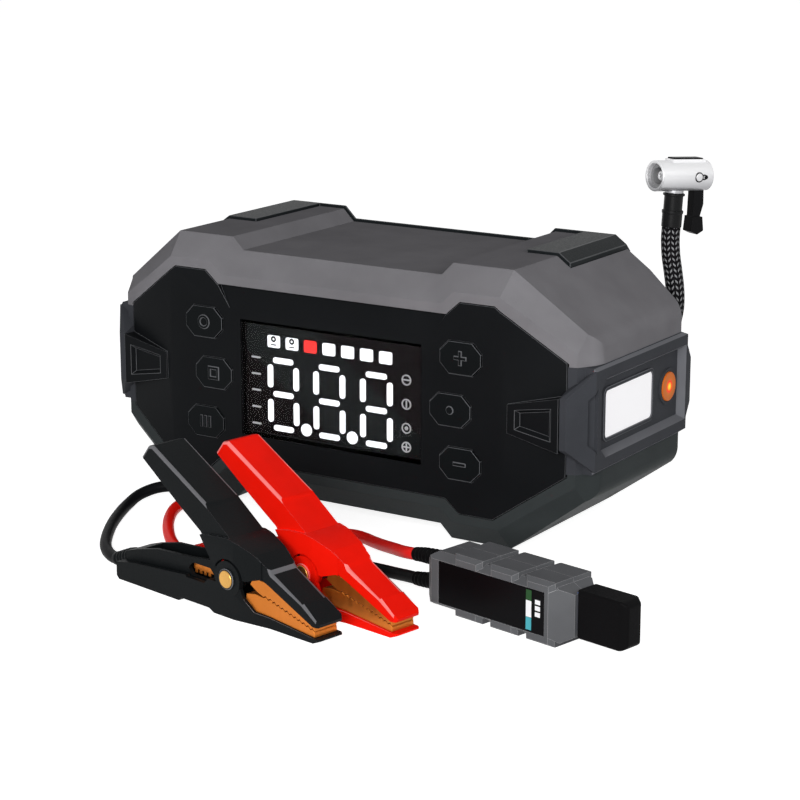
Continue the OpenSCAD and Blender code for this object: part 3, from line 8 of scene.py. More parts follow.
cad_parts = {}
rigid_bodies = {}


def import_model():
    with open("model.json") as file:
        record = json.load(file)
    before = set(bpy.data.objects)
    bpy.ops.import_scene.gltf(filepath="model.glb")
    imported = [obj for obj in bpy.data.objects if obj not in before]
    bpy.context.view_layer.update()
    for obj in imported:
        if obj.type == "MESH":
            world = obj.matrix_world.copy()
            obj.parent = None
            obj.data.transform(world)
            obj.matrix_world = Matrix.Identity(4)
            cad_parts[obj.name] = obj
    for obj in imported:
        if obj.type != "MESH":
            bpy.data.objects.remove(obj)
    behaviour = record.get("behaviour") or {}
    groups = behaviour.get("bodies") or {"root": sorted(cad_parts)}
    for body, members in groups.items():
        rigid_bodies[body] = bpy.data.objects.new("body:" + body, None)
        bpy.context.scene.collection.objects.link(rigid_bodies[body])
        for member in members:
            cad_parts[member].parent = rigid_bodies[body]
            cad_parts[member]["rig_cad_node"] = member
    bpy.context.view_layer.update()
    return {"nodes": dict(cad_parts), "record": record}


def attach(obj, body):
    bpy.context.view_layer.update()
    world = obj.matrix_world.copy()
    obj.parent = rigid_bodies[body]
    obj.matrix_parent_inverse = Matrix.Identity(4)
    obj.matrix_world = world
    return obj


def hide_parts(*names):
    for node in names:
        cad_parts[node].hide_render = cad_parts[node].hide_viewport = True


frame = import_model()
MM = 0.001


# ---- shader nodes ----

def new_finish(name):
    material = bpy.data.materials.new(name)
    material.use_nodes = True
    tree = material.node_tree
    return material, tree, tree.nodes["Principled BSDF"]


def place_coords(tree, scale=(1, 1, 1)):
    """The place on the part in metres, stretched where a scale is given."""
    coords = tree.nodes.new("ShaderNodeTexCoord")
    mapping = tree.nodes.new("ShaderNodeMapping")
    mapping.inputs["Scale"].default_value = scale
    tree.links.new(coords.outputs["Object"], mapping.inputs["Vector"])
    return mapping.outputs["Vector"]


def split_place(tree):
    split = tree.nodes.new("ShaderNodeSeparateXYZ")
    tree.links.new(place_coords(tree), split.inputs["Vector"])
    return split.outputs


def noise(tree, vector, scale, detail):
    node = tree.nodes.new("ShaderNodeTexNoise")
    node.inputs["Scale"].default_value = scale
    node.inputs["Detail"].default_value = detail
    tree.links.new(vector, node.inputs["Vector"])
    return node.outputs["Fac"]


def maths(tree, operation, a, b=None, c=None):
    node = tree.nodes.new("ShaderNodeMath")
    node.operation = operation
    for socket, value in zip(node.inputs, (a, b, c)):
        if value is None:
            continue
        if isinstance(value, (int, float)):
            socket.default_value = value
        else:
            tree.links.new(value, socket)
    return node.outputs[0]


def two_tone(tree, factor, dark, light, low=0.3, high=0.7):
    """A dark colour up to a low factor, a light one from a high factor on."""
    ramp = tree.nodes.new("ShaderNodeValToRGB")
    for stop, position, colour in zip(ramp.color_ramp.elements, (low, high), (dark, light)):
        stop.position = position
        stop.color = (*colour, 1)
    tree.links.new(factor, ramp.inputs["Fac"])
    return ramp.outputs["Color"]


def spread(tree, factor, low, high, start=0.3, stop=0.7):
    """Maps a factor between start and stop to a value between low and high."""
    node = tree.nodes.new("ShaderNodeMapRange")
    for name, value in (("From Min", start), ("From Max", stop), ("To Min", low), ("To Max", high)):
        node.inputs[name].default_value = value
    tree.links.new(factor, node.inputs["Value"])
    return node.outputs["Result"]


def blend_colours(tree, factor, one, other):
    mix = tree.nodes.new("ShaderNodeMix")
    mix.data_type = "RGBA"
    tree.links.new(factor, mix.inputs["Factor"])
    for name, value in (("A", one), ("B", other)):
        target = [i for i in mix.inputs if i.name == name and i.type == "RGBA"][0]
        if isinstance(value, tuple):
            target.default_value = (*value, 1)
        else:
            tree.links.new(value, target)
    return [o for o in mix.outputs if o.type == "RGBA"][0]


def relief(tree, shader, height, depth, strength):
    bump = tree.nodes.new("ShaderNodeBump")
    bump.inputs["Strength"].default_value = strength
    bump.inputs["Distance"].default_value = depth
    tree.links.new(height, bump.inputs["Height"])
    tree.links.new(bump.outputs["Normal"], shader.inputs["Normal"])


def seen_strength(tree, seen, unseen):
    """One strength for rays from the camera, a mirror or a glass, and another for all others."""
    path = tree.nodes.new("ShaderNodeLightPath").outputs
    direct = maths(tree, "MAXIMUM", path["Is Camera Ray"], path["Is Glossy Ray"])
    direct = maths(tree, "MAXIMUM", direct, path["Is Transmission Ray"])
    return spread(tree, direct, unseen, seen, 0, 1)


# ---- camera, room and lamps ----

CAMERA_AT = (0.581088, -0.901728, 0.321816)
CAMERA_TURN = (75.7445, 0, 32.61)
FOCAL_LENGTH, SENSOR_WIDTH = 104.06, 36
CLIP_START, CLIP_END = 0.01, 20
ROOM_SEEN, ROOM_UNSEEN = 1.0, 0.2
FLOOR_SIZE, FLOOR_GREY = 12, 0.72
FLOOR_SEEN, FLOOR_UNSEEN = 0.85, 0.0
LAMP_TARGET = (0, 0, 0.06)


def add_camera():
    bpy.ops.object.select_all(action="DESELECT")
    bpy.ops.object.camera_add(location=CAMERA_AT, rotation=[math.radians(a) for a in CAMERA_TURN])
    camera = bpy.context.active_object
    camera.name = "camera"
    camera.data.lens = FOCAL_LENGTH
    camera.data.sensor_width = SENSOR_WIDTH
    camera.data.clip_start = CLIP_START
    camera.data.clip_end = CLIP_END
    bpy.context.scene.camera = camera


def make_world():
    """A white room that lights the part less than it shows."""
    world = bpy.data.worlds.new("room")
    world.use_nodes = True
    tree = world.node_tree
    tree.nodes.clear()
    out = tree.nodes.new("ShaderNodeOutputWorld")
    back = tree.nodes.new("ShaderNodeBackground")
    back.inputs["Color"].default_value = (1, 1, 1, 1)
    tree.links.new(seen_strength(tree, ROOM_SEEN, ROOM_UNSEEN), back.inputs["Strength"])
    tree.links.new(back.outputs[0], out.inputs["Surface"])
    bpy.context.scene.world = world


def make_floor():
    """A pale floor that takes shadows and glows only where it is seen."""
    bpy.ops.object.select_all(action="DESELECT")
    bpy.ops.mesh.primitive_plane_add(size=FLOOR_SIZE, location=(0, 0, 0))
    floor = bpy.context.active_object
    floor.name = "floor"
    material = bpy.data.materials.new("pale_floor")
    material.use_nodes = True
    tree = material.node_tree
    tree.nodes.clear()
    out = tree.nodes.new("ShaderNodeOutputMaterial")
    add = tree.nodes.new("ShaderNodeAddShader")
    paint = tree.nodes.new("ShaderNodeBsdfDiffuse")
    paint.inputs["Color"].default_value = (FLOOR_GREY, FLOOR_GREY, FLOOR_GREY, 1)
    glow = tree.nodes.new("ShaderNodeEmission")
    tree.links.new(seen_strength(tree, FLOOR_SEEN, FLOOR_UNSEEN), glow.inputs["Strength"])
    tree.links.new(paint.outputs[0], add.inputs[0])
    tree.links.new(glow.outputs[0], add.inputs[1])
    tree.links.new(add.outputs[0], out.inputs["Surface"])
    floor.data.materials.append(material)


def add_lamp(name, place, size, power):
    bpy.ops.object.select_all(action="DESELECT")
    bpy.ops.object.light_add(type="AREA", location=place)
    lamp = bpy.context.active_object
    lamp.name = name
    lamp.data.shape = "RECTANGLE"
    lamp.data.size, lamp.data.size_y = size
    lamp.data.energy = power
    way = Vector(LAMP_TARGET) - lamp.location
    lamp.rotation_euler = way.to_track_quat("-Z", "Y").to_euler()


bpy.context.scene.view_settings.view_transform = "Standard"
add_camera()
make_world()
make_floor()
add_lamp("key_lamp", (0.6, -1.42, 0.52), (0.9, 0.5), 23)
add_lamp("side_lamp", (1.3, -0.2, 0.62), (0.5, 0.5), 3.6)


# ---- finishes ----

def moulded_plastic(name, colour, rough, grain, depth, specular=0.4, patches=0.08):
    """Moulded plastic with a fine spark-eroded grain and faint broad unevenness."""
    material, tree, shader = new_finish(name)
    vector = place_coords(tree)
    broad = noise(tree, vector, 45, 3)
    fine = noise(tree, vector, grain, 2)
    dark = [c * (1 - patches) for c in colour]
    light = [min(1, c * (1 + patches)) for c in colour]
    tree.links.new(two_tone(tree, broad, dark, light), shader.inputs["Base Color"])
    tree.links.new(spread(tree, fine, rough - 0.05, rough + 0.07), shader.inputs["Roughness"])
    shader.inputs["Specular IOR Level"].default_value = specular
    relief(tree, shader, fine, depth, 0.5)
    return material


def bare_metal(name, colour, rough, grain=700, metal=1.0, stretch=(1, 1, 1)):
    """Metal with a drawn or turned grain along the squeezed direction."""
    material, tree, shader = new_finish(name)
    streaks = noise(tree, place_coords(tree, stretch), grain, 3)
    broad = noise(tree, place_coords(tree), 60, 2)
    shade = two_tone(tree, broad, [c * 0.86 for c in colour], colour)
    tree.links.new(shade, shader.inputs["Base Color"])
    tree.links.new(spread(tree, streaks, rough - 0.06, rough + 0.1), shader.inputs["Roughness"])
    shader.inputs["Metallic"].default_value = metal
    relief(tree, shader, streaks, 0.00004, 0.4)
    return material


def silver_alloy(shade_low_z, shade_high_z):
    """Satin alloy with painted shade, darker towards the underside of the chuck, between two
    heights.
    """
    material, tree, shader = new_finish("silver_alloy")
    height = spread(tree, split_place(tree)["Z"], 0, 1, shade_low_z, shade_high_z)
    shade = two_tone(tree, height, (0.36, 0.36, 0.375), (0.8, 0.8, 0.81), 0, 1)
    tree.links.new(shade, shader.inputs["Base Color"])
    grain = noise(tree, place_coords(tree, (1, 1, 0.15)), 900, 3)
    tree.links.new(spread(tree, grain, 0.3, 0.42), shader.inputs["Roughness"])
    shader.inputs["Metallic"].default_value = 0.5
    relief(tree, shader, grain, 0.00004, 0.4)
    return material


def dark_glass():
    """Smoked lens with a faint smear in its gloss."""
    material, tree, shader = new_finish("dark_glass")
    smear = noise(tree, place_coords(tree), 30, 3)
    shader.inputs["Base Color"].default_value = (0.95, 0.95, 0.96, 1)
    shader.inputs["Transmission Weight"].default_value = 1.0
    shader.inputs["IOR"].default_value = 1.09
    shader.inputs["Specular IOR Level"].default_value = 0.05
    tree.links.new(spread(tree, smear, 0.01, 0.05), shader.inputs["Roughness"])
    return material


def lit(name, colour, strength, dim=0.9):
    """A lit diffuser, slightly uneven."""
    material, tree, shader = new_finish(name)
    uneven = noise(tree, place_coords(tree), 220, 2)
    glow = two_tone(tree, uneven, [c * dim for c in colour], colour)
    tree.links.new(glow, shader.inputs["Emission Color"])
    shader.inputs["Emission Strength"].default_value = strength
    shader.inputs["Base Color"].default_value = (*[c * 0.6 for c in colour], 1)
    shader.inputs["Roughness"].default_value = 0.4
    return material


def board_colour(tree):
    """Green lacquer with paler tracks between the cells of a pattern."""
    cells = tree.nodes.new("ShaderNodeTexVoronoi")
    cells.feature = "DISTANCE_TO_EDGE"
    cells.inputs["Scale"].default_value = 260
    tree.links.new(place_coords(tree), cells.inputs["Vector"])
    track, lacquer = (0.05, 0.22, 0.1), (0.01, 0.08, 0.035)
    return two_tone(tree, cells.outputs["Distance"], track, lacquer, 0.02, 0.06)


def circuit_board():
    material, tree, shader = new_finish("circuit_board")
    tree.links.new(board_colour(tree), shader.inputs["Base Color"])
    shader.inputs["Roughness"].default_value = 0.35
    return material


def display_board(mask_y, reflection_middle, reflection_half):
    """Circuit board whose light block, in front of a plane, wears a black mask with a slanting
    paler band of painted reflection."""
    material, tree, shader = new_finish("display_board")
    x, y, z = split_place(tree)
    slant = maths(tree, "ADD", maths(tree, "MULTIPLY", x, 0.6), maths(tree, "MULTIPLY", z, 0.8))
    # The slanting paler band is a painted reflection on the black mask.
    band = maths(tree, "COMPARE", slant, reflection_middle, reflection_half)
    mask = blend_colours(tree, band, (0.0022, 0.0008, 0.0012), (0.0058, 0.0072, 0.0074))
    near = maths(tree, "LESS_THAN", y, mask_y)
    shade = blend_colours(tree, near, board_colour(tree), mask)
    tree.links.new(shade, shader.inputs["Base Color"])
    shader.inputs["Roughness"].default_value = 0.45
    shader.inputs["Specular IOR Level"].default_value = 0.05
    return material


def glowing_button(centre, radius):
    """Translucent orange cap with a red and yellow glow at its middle."""
    material, tree, shader = new_finish("orange_plastic")
    _, y, z = split_place(tree)
    across = maths(tree, "SUBTRACT", y, centre[1])
    up = maths(tree, "SUBTRACT", z, centre[2])
    squares = [maths(tree, "POWER", leg, 2.0) for leg in (across, up)]
    reach = maths(tree, "SQRT", maths(tree, "ADD", *squares))
    share = maths(tree, "DIVIDE", reach, radius)
    ramp = tree.nodes.new("ShaderNodeValToRGB")
    stops = ramp.color_ramp.elements
    stops[0].position, stops[0].color = 0.0, (1.0, 0.6, 0.05, 1)
    stops[1].position, stops[1].color = 1.0, (0.5, 0.11, 0.01, 1)
    for place, colour in ((0.16, (1.0, 0.42, 0.02, 1)),
                          (0.34, (0.8, 0.02, 0.003, 1)),
                          (0.52, (0.55, 0.14, 0.01, 1))):
        stop = stops.new(place)
        stop.color = colour
    tree.links.new(share, ramp.inputs["Fac"])
    tree.links.new(ramp.outputs["Color"], shader.inputs["Base Color"])
    tree.links.new(ramp.outputs["Color"], shader.inputs["Emission Color"])
    tree.links.new(spread(tree, share, 0.6, 0.12, 0.15, 0.6), shader.inputs["Emission Strength"])
    shader.inputs["Roughness"].default_value = 0.35
    shader.inputs["Specular IOR Level"].default_value = 0.08
    return material


def braid_finish():
    """Black braid with pale slanted flecks in columns that lean to and fro, laid on the hose's
    own map."""
    material, tree, shader = new_finish("hose_braid")
    coords = tree.nodes.new("ShaderNodeUVMap")
    coords.uv_map = "along"
    split = tree.nodes.new("ShaderNodeSeparateXYZ")
    tree.links.new(coords.outputs["UV"], split.inputs["Vector"])
    column = maths(tree, "MULTIPLY", split.outputs["X"], 14.0)
    lean = maths(tree, "PINGPONG", column, 1.0)
    run = maths(tree, "ADD", maths(tree, "MULTIPLY", split.outputs["Y"], 380.0),
                maths(tree, "MULTIPLY", lean, 0.75))
    strand = maths(tree, "PINGPONG", run, 0.5)
    middle = maths(tree, "PINGPONG", column, 0.5)
    fleck = maths(tree, "MULTIPLY", spread(tree, strand, 0, 1, 0.24, 0.36),
                  spread(tree, middle, 0, 1, 0.14, 0.3))
    uneven = spread(tree, noise(tree, coords.outputs["UV"], 260, 2), 0.55, 1.0)
    black, pale = (0.0035, 0.0035, 0.004), (0.3, 0.3, 0.31)
    shade = two_tone(tree, maths(tree, "MULTIPLY", fleck, uneven), black, pale, 0.1, 1.0)
    tree.links.new(shade, shader.inputs["Base Color"])
    shader.inputs["Roughness"].default_value = 0.55
    shader.inputs["Specular IOR Level"].default_value = 0.03
    relief(tree, shader, maths(tree, "ADD", strand, middle), 0.0005, 0.7)
    return material


# Each paler finish for rounded edges is a painted highlight, a lighter copy of the plastic it
# borders.
# key: name, colour, roughness, grain, depth of the grain, specular, patches
PLASTICS = {
    "upper": ("upper_plastic", (0.165, 0.161, 0.171), 0.5, 1500, 0.0001, 0.0),
    "lower": ("lower_plastic", (0.033, 0.038, 0.039), 0.5, 1500, 0.0001, 0.02),
    "bumper": ("bumper_plastic", (0.04, 0.042, 0.048), 0.5, 1300, 0.0001, 0.02),
    "bumper_edge": ("bumper_edge", (0.115, 0.118, 0.13), 0.42, 1300, 0.00006, 0.06),
    "panel": ("panel_plastic", (0.0052, 0.0058, 0.0066), 0.42, 2400, 0.00005, 0.04),
    "panel_edge": ("panel_edge", (0.095, 0.098, 0.104), 0.36, 2400, 0.00004, 0.12),
    "rear": ("rear_plastic", (0.009, 0.011, 0.012), 0.45, 1300, 0.0001, 0.06),
    "rear_edge": ("rear_edge", (0.06, 0.063, 0.066), 0.42, 1300, 0.00006, 0.12),
    "key": ("key_plastic", (0.0044, 0.0054, 0.006), 0.42, 2400, 0.00005, 0.04),
    "key_edge": ("key_edge", (0.09, 0.094, 0.1), 0.36, 2400, 0.00004, 0.12),
    "cover": ("cover_rubber", (0.014, 0.016, 0.018), 0.6, 1100, 0.00015, 0.12),
    "blue": ("blue_plastic", (0.03, 0.14, 0.55), 0.35, 1200, 0.00006),
    "foot": ("foot_rubber", (0.02, 0.02, 0.02), 0.75, 700, 0.0002, 0.1),
    "nylon": ("nylon", (0.74, 0.72, 0.66), 0.45, 600, 0.0001),
    "tube": ("clear_tube", (0.62, 0.67, 0.7), 0.3, 500, 0.00005),
    "lever": ("lever_plastic", (0.004, 0.004, 0.0045), 0.42, 1600, 0.00006, 0.05),
    "rubber": ("black_rubber", (0.0032, 0.003, 0.0034), 0.5, 1500, 0.00008, 0.03),
    "gloss_black": ("gloss_black", (0.0045, 0.0046, 0.005), 0.3, 1500, 0.00003, 0.1),
    "seal": ("seal_rubber", (0.2, 0.2, 0.205), 0.5, 1200, 0.00008, 0.2),
    "box": ("box_plastic", (0.098, 0.1, 0.106), 0.46, 1300, 0.0001, 0.03),
    "box_edge": ("box_edge", (0.3, 0.3, 0.31), 0.4, 1300, 0.00006, 0.2),
    "box_black": ("box_black", (0.0022, 0.002, 0.0026), 0.32, 2200, 0.00003, 0.04),
    "lead_black": ("lead_black", (0.0042, 0.0044, 0.005), 0.45, 1200, 0.00006, 0.03),
    "lead_red": ("lead_red", (0.95, 0.01, 0.005), 0.4, 1200, 0.00006, 0.1),
    "clamp_black": ("clamp_black", (0.0052, 0.0062, 0.0068), 0.42, 1300, 0.00008, 0.05),
    "clamp_black_edge": ("clamp_black_edge", (0.12, 0.12, 0.128), 0.34, 1300, 0.00004, 0.15),
    "clamp_red": ("clamp_red", (0.8, 0.0075, 0.002), 0.42, 1300, 0.00008, 0.05),
    "clamp_red_edge": ("clamp_red_edge", (0.9, 0.2, 0.19), 0.34, 1300, 0.00004, 0.15),
    "label_white": ("label_white", (0.82, 0.82, 0.84), 0.4, 1500, 0.00002, 0.2, 0.03),
    "label_teal": ("label_teal", (0.06, 0.36, 0.42), 0.4, 1500, 0.00002, 0.2, 0.05),
    "label_green": ("label_green", (0.01, 0.06, 0.014), 0.4, 1500, 0.00002, 0.2, 0.05),
}
# key: name, colour, roughness, grain, metallic, stretch of the grain
METALS = {
    "steel": ("steel", (0.5, 0.51, 0.53), 0.3),
    "cast": ("cast_alloy", (0.4, 0.41, 0.42), 0.5, 400),
    "foil": ("pouch_foil", (0.55, 0.56, 0.58), 0.4, 120),
    "brass": ("brass", (0.66, 0.36, 0.09), 0.32, 700, 0.9),
    "copper": ("copper", (0.58, 0.175, 0.022), 0.36, 500, 0.85, (1, 1, 0.2)),
}
# key: name, colour, strength, share of it at the dimmest
LIGHTS = {
    "figure_white": ("figure_white", (0.92, 0.93, 0.95), 0.95),
    "figure_red": ("figure_red", (0.85, 0.01, 0.006), 0.95),
    "sign_grey": ("sign_grey", (0.42, 0.42, 0.43), 0.4),
    "lamp": ("lamp_diffuser", (0.93, 0.92, 0.94), 0.45, 0.97),
}
BUTTON_AT, BUTTON_RADIUS = (0.1292, 0.0345, 0.066), 0.0068
# Heights over which the chuck's metal goes from painted shade below to its own colour above.
CHUCK_SHADE_LOW_Z, CHUCK_SHADE_HIGH_Z = 0.1525, 0.162
# Where the display's black mask starts, and the middle and half width of its slanting band of
# painted reflection.
MASK_Y, REFLECTION_BAND_MIDDLE, REFLECTION_BAND_HALF = -0.0508, 0.0514, 0.0172

FINISH = {
    "orange": glowing_button(BUTTON_AT, BUTTON_RADIUS),
    "silver": silver_alloy(CHUCK_SHADE_LOW_Z, CHUCK_SHADE_HIGH_Z),
    "glass": dark_glass(),
    "board": circuit_board(),
    "display_board": display_board(MASK_Y, REFLECTION_BAND_MIDDLE, REFLECTION_BAND_HALF),
    "hose": braid_finish(),
}
for table, make in ((PLASTICS, moulded_plastic), (METALS, bare_metal), (LIGHTS, lit)):
    FINISH.update({key: make(*values) for key, values in table.items()})


# ---- helpers for pieces ----

MERGE_WITHIN = 0.000008
FLAT_ANGLE = math.radians(0.6)
EDGE_ANGLE = math.radians(30)
SMOOTH_ANGLE = math.radians(38)
PLAIN_SMOOTH_ANGLE = math.radians(25)

node_body = {n: b for b, ns in frame["record"]["behaviour"]["bodies"].items() for n in ns}


def only(obj):
    bpy.ops.object.select_all(action="DESELECT")
    obj.select_set(True)
    bpy.context.view_layer.objects.active = obj


def wear(obj, finish, edge=None):
    obj.data.materials.clear()
    obj.data.materials.append(FINISH[finish])
    # A second finish, where given, is a painted highlight for rounded edges.
    if edge:
        obj.data.materials.append(FINISH[edge])


def apply_modifier(obj, kind, **settings):
    only(obj)
    modifier = obj.modifiers.new(kind.lower(), kind)
    for key, value in settings.items():
        setattr(modifier, key, value)
    bpy.ops.object.modifier_apply(modifier=modifier.name)


def copied(node, name):
    """A merged copy of a solid with its flat faces whole, to be shaped further."""
    only(frame["nodes"][node])
    bpy.ops.object.duplicate()
    piece = bpy.context.active_object
    piece.name = name
    if "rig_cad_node" in piece:
        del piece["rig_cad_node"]
    bpy.ops.object.mode_set(mode="EDIT")
    bpy.ops.mesh.select_all(action="SELECT")
    bpy.ops.mesh.remove_doubles(threshold=MERGE_WITHIN)
    bpy.ops.mesh.dissolve_limited(angle_limit=FLAT_ANGLE)
    bpy.ops.object.mode_set(mode="OBJECT")
    return piece


def round_edges(piece, width, segments, highlight_slot):
    # The rounded faces take the finish in the slot given, a painted highlight where slot 1 holds
    # one.
    apply_modifier(piece, "BEVEL", width=width, segments=segments, limit_method="ANGLE",
                   angle_limit=EDGE_ANGLE, use_clamp_overlap=True, harden_normals=False,
                   material=highlight_slot)
    only(piece)
    bpy.ops.object.shade_smooth_by_angle(angle=SMOOTH_ANGLE)
    apply_modifier(piece, "WEIGHTED_NORMAL", keep_sharp=True, weight=80)


def select_where(piece, mode, test):
    """Enters edit mode with only those edges or faces selected that pass the test."""
    only(piece)
    bpy.ops.object.mode_set(mode="EDIT")
    bpy.ops.mesh.select_mode(type=mode)
    bpy.ops.mesh.select_all(action="DESELECT")
    mesh = bmesh.from_edit_mesh(piece.data)
    for element in mesh.edges if mode == "EDGE" else mesh.faces:
        if test(element):
            element.select_set(True)
    bmesh.update_edit_mesh(piece.data)


def bevel_where(piece, test, offset, segments, highlight_slot=-1, clamped=True):
    """Rounds off the edges whose two ends, in millimetres, pass the test; the rounding takes the
    finish in the slot given, a painted highlight where one is given.
    """
    select_where(piece, "EDGE", lambda edge: test(*[v.co / MM for v in edge.verts]))
    bpy.ops.mesh.bevel(offset=offset, segments=segments, clamp_overlap=clamped,
                       material=highlight_slot)
    bpy.ops.object.mode_set(mode="OBJECT")


def paint_where(piece, test, index=1):
    """Gives one of its finishes to each face whose normal and middle, in millimetres, pass the
    test; here that lays a painted highlight on faces, or takes it off again."""
    for face in piece.data.polygons:
        if test(face.normal, face.center / MM):
            face.material_index = index


def softened(node, finish, width, segments=2, first=None, edge=None, all_edges=True):
    """A copy of a solid with its edges rounded, in a second, paler finish of painted highlight
    where one is named.
    """
    piece = copied(node, node + "_moulding")
    wear(piece, finish, edge)
    if first:
        first(piece)
    round_edges(piece, width, segments, 1 if edge and all_edges else -1)
    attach(piece, node_body[node])
    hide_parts(node)
    return piece


def settle(piece, place=None):
    """Moves a piece by a matrix and puts its place into its mesh."""
    if place is not None:
        piece.matrix_world = place @ piece.matrix_world
        bpy.context.view_layer.update()
    only(piece)
    bpy.ops.object.transform_apply(location=True, rotation=True, scale=True)
    return piece


def bar(name, lo, hi, place=None):
    """A block between two corners in millimetres."""
    bpy.ops.object.select_all(action="DESELECT")
    middle = [(a + b) / 2 * MM for a, b in zip(lo, hi)]
    size = [(b - a) * MM for a, b in zip(lo, hi)]
    bpy.ops.mesh.primitive_cube_add(size=1, location=middle, scale=size)
    piece = bpy.context.active_object
    piece.name = name
    return settle(piece, place)


def disc(name, centre, axis, radius, thick, sides=40, place=None):
    """A round plate whose back is at the centre, facing along an axis."""
    bpy.ops.object.select_all(action="DESELECT")
    way = Vector(axis).normalized()
    bpy.ops.mesh.primitive_cylinder_add(vertices=sides, radius=radius * MM, depth=thick * MM,
                                        location=(Vector(centre) + way * thick / 2) * MM,
                                        rotation=way.to_track_quat("Z", "Y").to_euler())
    piece = bpy.context.active_object
    piece.name = name
    return settle(piece, place)


def ring(name, centre, axis, inner, outer, thick, sides=48, place=None):
    """A flat ring whose back is at the centre, facing along an axis."""
    bpy.ops.object.select_all(action="DESELECT")
    bpy.ops.mesh.primitive_circle_add(vertices=sides, radius=inner * MM, fill_type="NOTHING")
    piece = bpy.context.active_object
    piece.name = name
    bpy.ops.object.mode_set(mode="EDIT")
    bpy.ops.mesh.select_all(action="SELECT")
    bpy.ops.mesh.extrude_region_move()
    bpy.ops.transform.resize(value=(outer / inner, outer / inner, 1))
    bpy.ops.mesh.select_all(action="SELECT")
    bpy.ops.mesh.extrude_region_move(TRANSFORM_OT_translate={"value": (0, 0, thick * MM)})
    bpy.ops.mesh.select_all(action="SELECT")
    bpy.ops.mesh.normals_make_consistent(inside=False)
    bpy.ops.object.mode_set(mode="OBJECT")
    turn = Vector(axis).normalized().to_track_quat("Z", "Y").to_matrix().to_4x4()
    piece.matrix_world = Matrix.Translation(Vector(centre) * MM) @ turn
    bpy.context.view_layer.update()
    return settle(piece, place)


def joined(name, pieces):
    bpy.ops.object.select_all(action="DESELECT")
    for piece in pieces:
        piece.select_set(True)
    bpy.context.view_layer.objects.active = pieces[0]
    bpy.ops.object.join()
    pieces[0].name = name
    return pieces[0]


def copy_of(piece, name, place):
    only(piece)
    bpy.ops.object.duplicate()
    twin = bpy.context.active_object
    twin.name = name
    return settle(twin, place)


def finished(piece, finish, body="unit", width=0.0002, segments=2, edge=None):
    """Rounds an added piece, dresses it, with a painted highlight on its rounding where an edge
    finish is named, and lets it ride on a body.
    """
    wear(piece, finish, edge)
    round_edges(piece, width, segments, 1 if edge else -1)
    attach(piece, body)
    return piece


# ---- cords ----

HOSE_ROUTE = [
    (57, 59, 102), (31, 59, 102), (5, 59, 102), (-21, 59, 102), (-48, 59, 102), (-75, 59, 102),
    (-93, 59, 97.2), (-106.2, 59, 84), (-111, 59, 71), (-111, 59, 61), (-106.2, 59, 48),
    (-93, 59, 34.8), (-75, 59, 30), (-48, 59, 30), (-21, 59, 30), (5, 59, 30), (31, 59, 30),
    (56, 59, 30), (77, 59.4, 30), (95, 59.9, 34.8), (108.2, 60.2, 48), (113, 60.4, 66),
    (113, 60.4, 75), (114.3, 60.4, 81.5), (116.6, 60.5, 89), (118.1, 60.7, 97),
    (117.9, 60.9, 105), (116.6, 61.2, 113), (115, 61.4, 121.5), (114.3, 61.7, 129),
    (114.4, 62, 134.9)]
BLACK_ROUTE = [
    (-25.1, -156.7, 7.6), (-33.8, -154.8, 7.6), (-39.3, -153.8, 6), (-46.4, -152, 3.6),
    (-55.5, -146.5, 2.8), (-64.4, -138.2, 2.7), (-73.7, -125.7, 2.7), (-83.2, -110.5, 2.7),
    (-91, -95, 2.9), (-94.6, -84.5, 3.8), (-95.4, -76, 5.6), (-92.4, -68.6, 7.4),
    (-87, -64, 8.4), (-80.5, -62, 8.6), (-73.5, -62.8, 8.6), (-67, -66.4, 7.8),
    (-60, -72.6, 5.4), (-52, -80.6, 3.4), (-43, -88.6, 2.7), (-31, -95.8, 2.7),
    (-16, -100.6, 2.7), (2, -102, 2.7), (22, -101.6, 2.7), (42, -100.6, 2.7), (57, -100.6, 2.7),
    (67, -102.4, 3.2), (76, -106.2, 4.6), (85.5, -110.6, 6.2), (93, -112.2, 7.1),
    (102.6, -114.2, 7.2)]
RED_ROUTE = [
    (-2.7, -134.3, 7.6), (-11.4, -132.4, 7.6), (-17.1, -131.4, 6), (-25.4, -129.7, 3.7),
    (-36.8, -122.9, 2.8), (-48.1, -112.5, 2.7), (-59.5, -99.2, 2.7), (-68.2, -86.4, 2.7),
    (-73.4, -76, 2.7), (-75.2, -68, 2.7), (-73.2, -61, 2.7), (-67.2, -57.4, 2.7),
    (-59.8, -58.8, 2.7), (-48.4, -66.8, 2.7), (-35, -78.6, 2.7), (-23, -88.4, 2.7),
    (-14.5, -93.4, 2.7), (-6.5, -94.6, 2.7), (0.6, -91.4, 2.7), (5, -84.6, 2.7),
    (7.6, -76.4, 2.7), (12.6, -69, 2.7), (21, -66.2, 2.9), (30, -69.6, 3.8), (39, -76.2, 5.4),
    (49.4, -84.4, 7.8), (60.4, -93, 10.6), (70, -101, 13.2), (80, -108.4, 16),
    (87.5, -111, 17.4), (95, -112.6, 17.8), (102.6, -114.2, 17.8)]
ROUTE_STEPS = 4
HOSE_RADIUS, LEAD_RADIUS = 4.4, 2.7
HOSE_SIDES, LEAD_SIDES, SLEEVE_SIDES = 20, 16, 20
SLEEVE_STEP = 0.0004
RIB_STEP, RIB_DEPTH, LIP_DEPTH = 1.1 * MM, 0.35 * MM, 0.3 * MM
FLAT_WITHIN = 0.01
Y_AXIS, Z_AXIS = (0, 1, 0), (0, 0, 1)


def smooth_route(points):
    """Points along a smooth line through the route's points, in metres."""
    p = [Vector(q) * MM for q in points]
    p = [2 * p[0] - p[1], *p, 2 * p[-1] - p[-2]]
    line = []
    for i in range(1, len(p) - 2):
        a, b, c, d = p[i - 1:i + 3]
        for k in range(ROUTE_STEPS):
            t = k / ROUTE_STEPS
            line.append(0.5 * ((2 * b) + (c - a) * t + (2 * a - 5 * b + 4 * c - d) * t ** 2
                               + (3 * b - a - 3 * c + d) * t ** 3))
    line.append(p[-2])
    return line


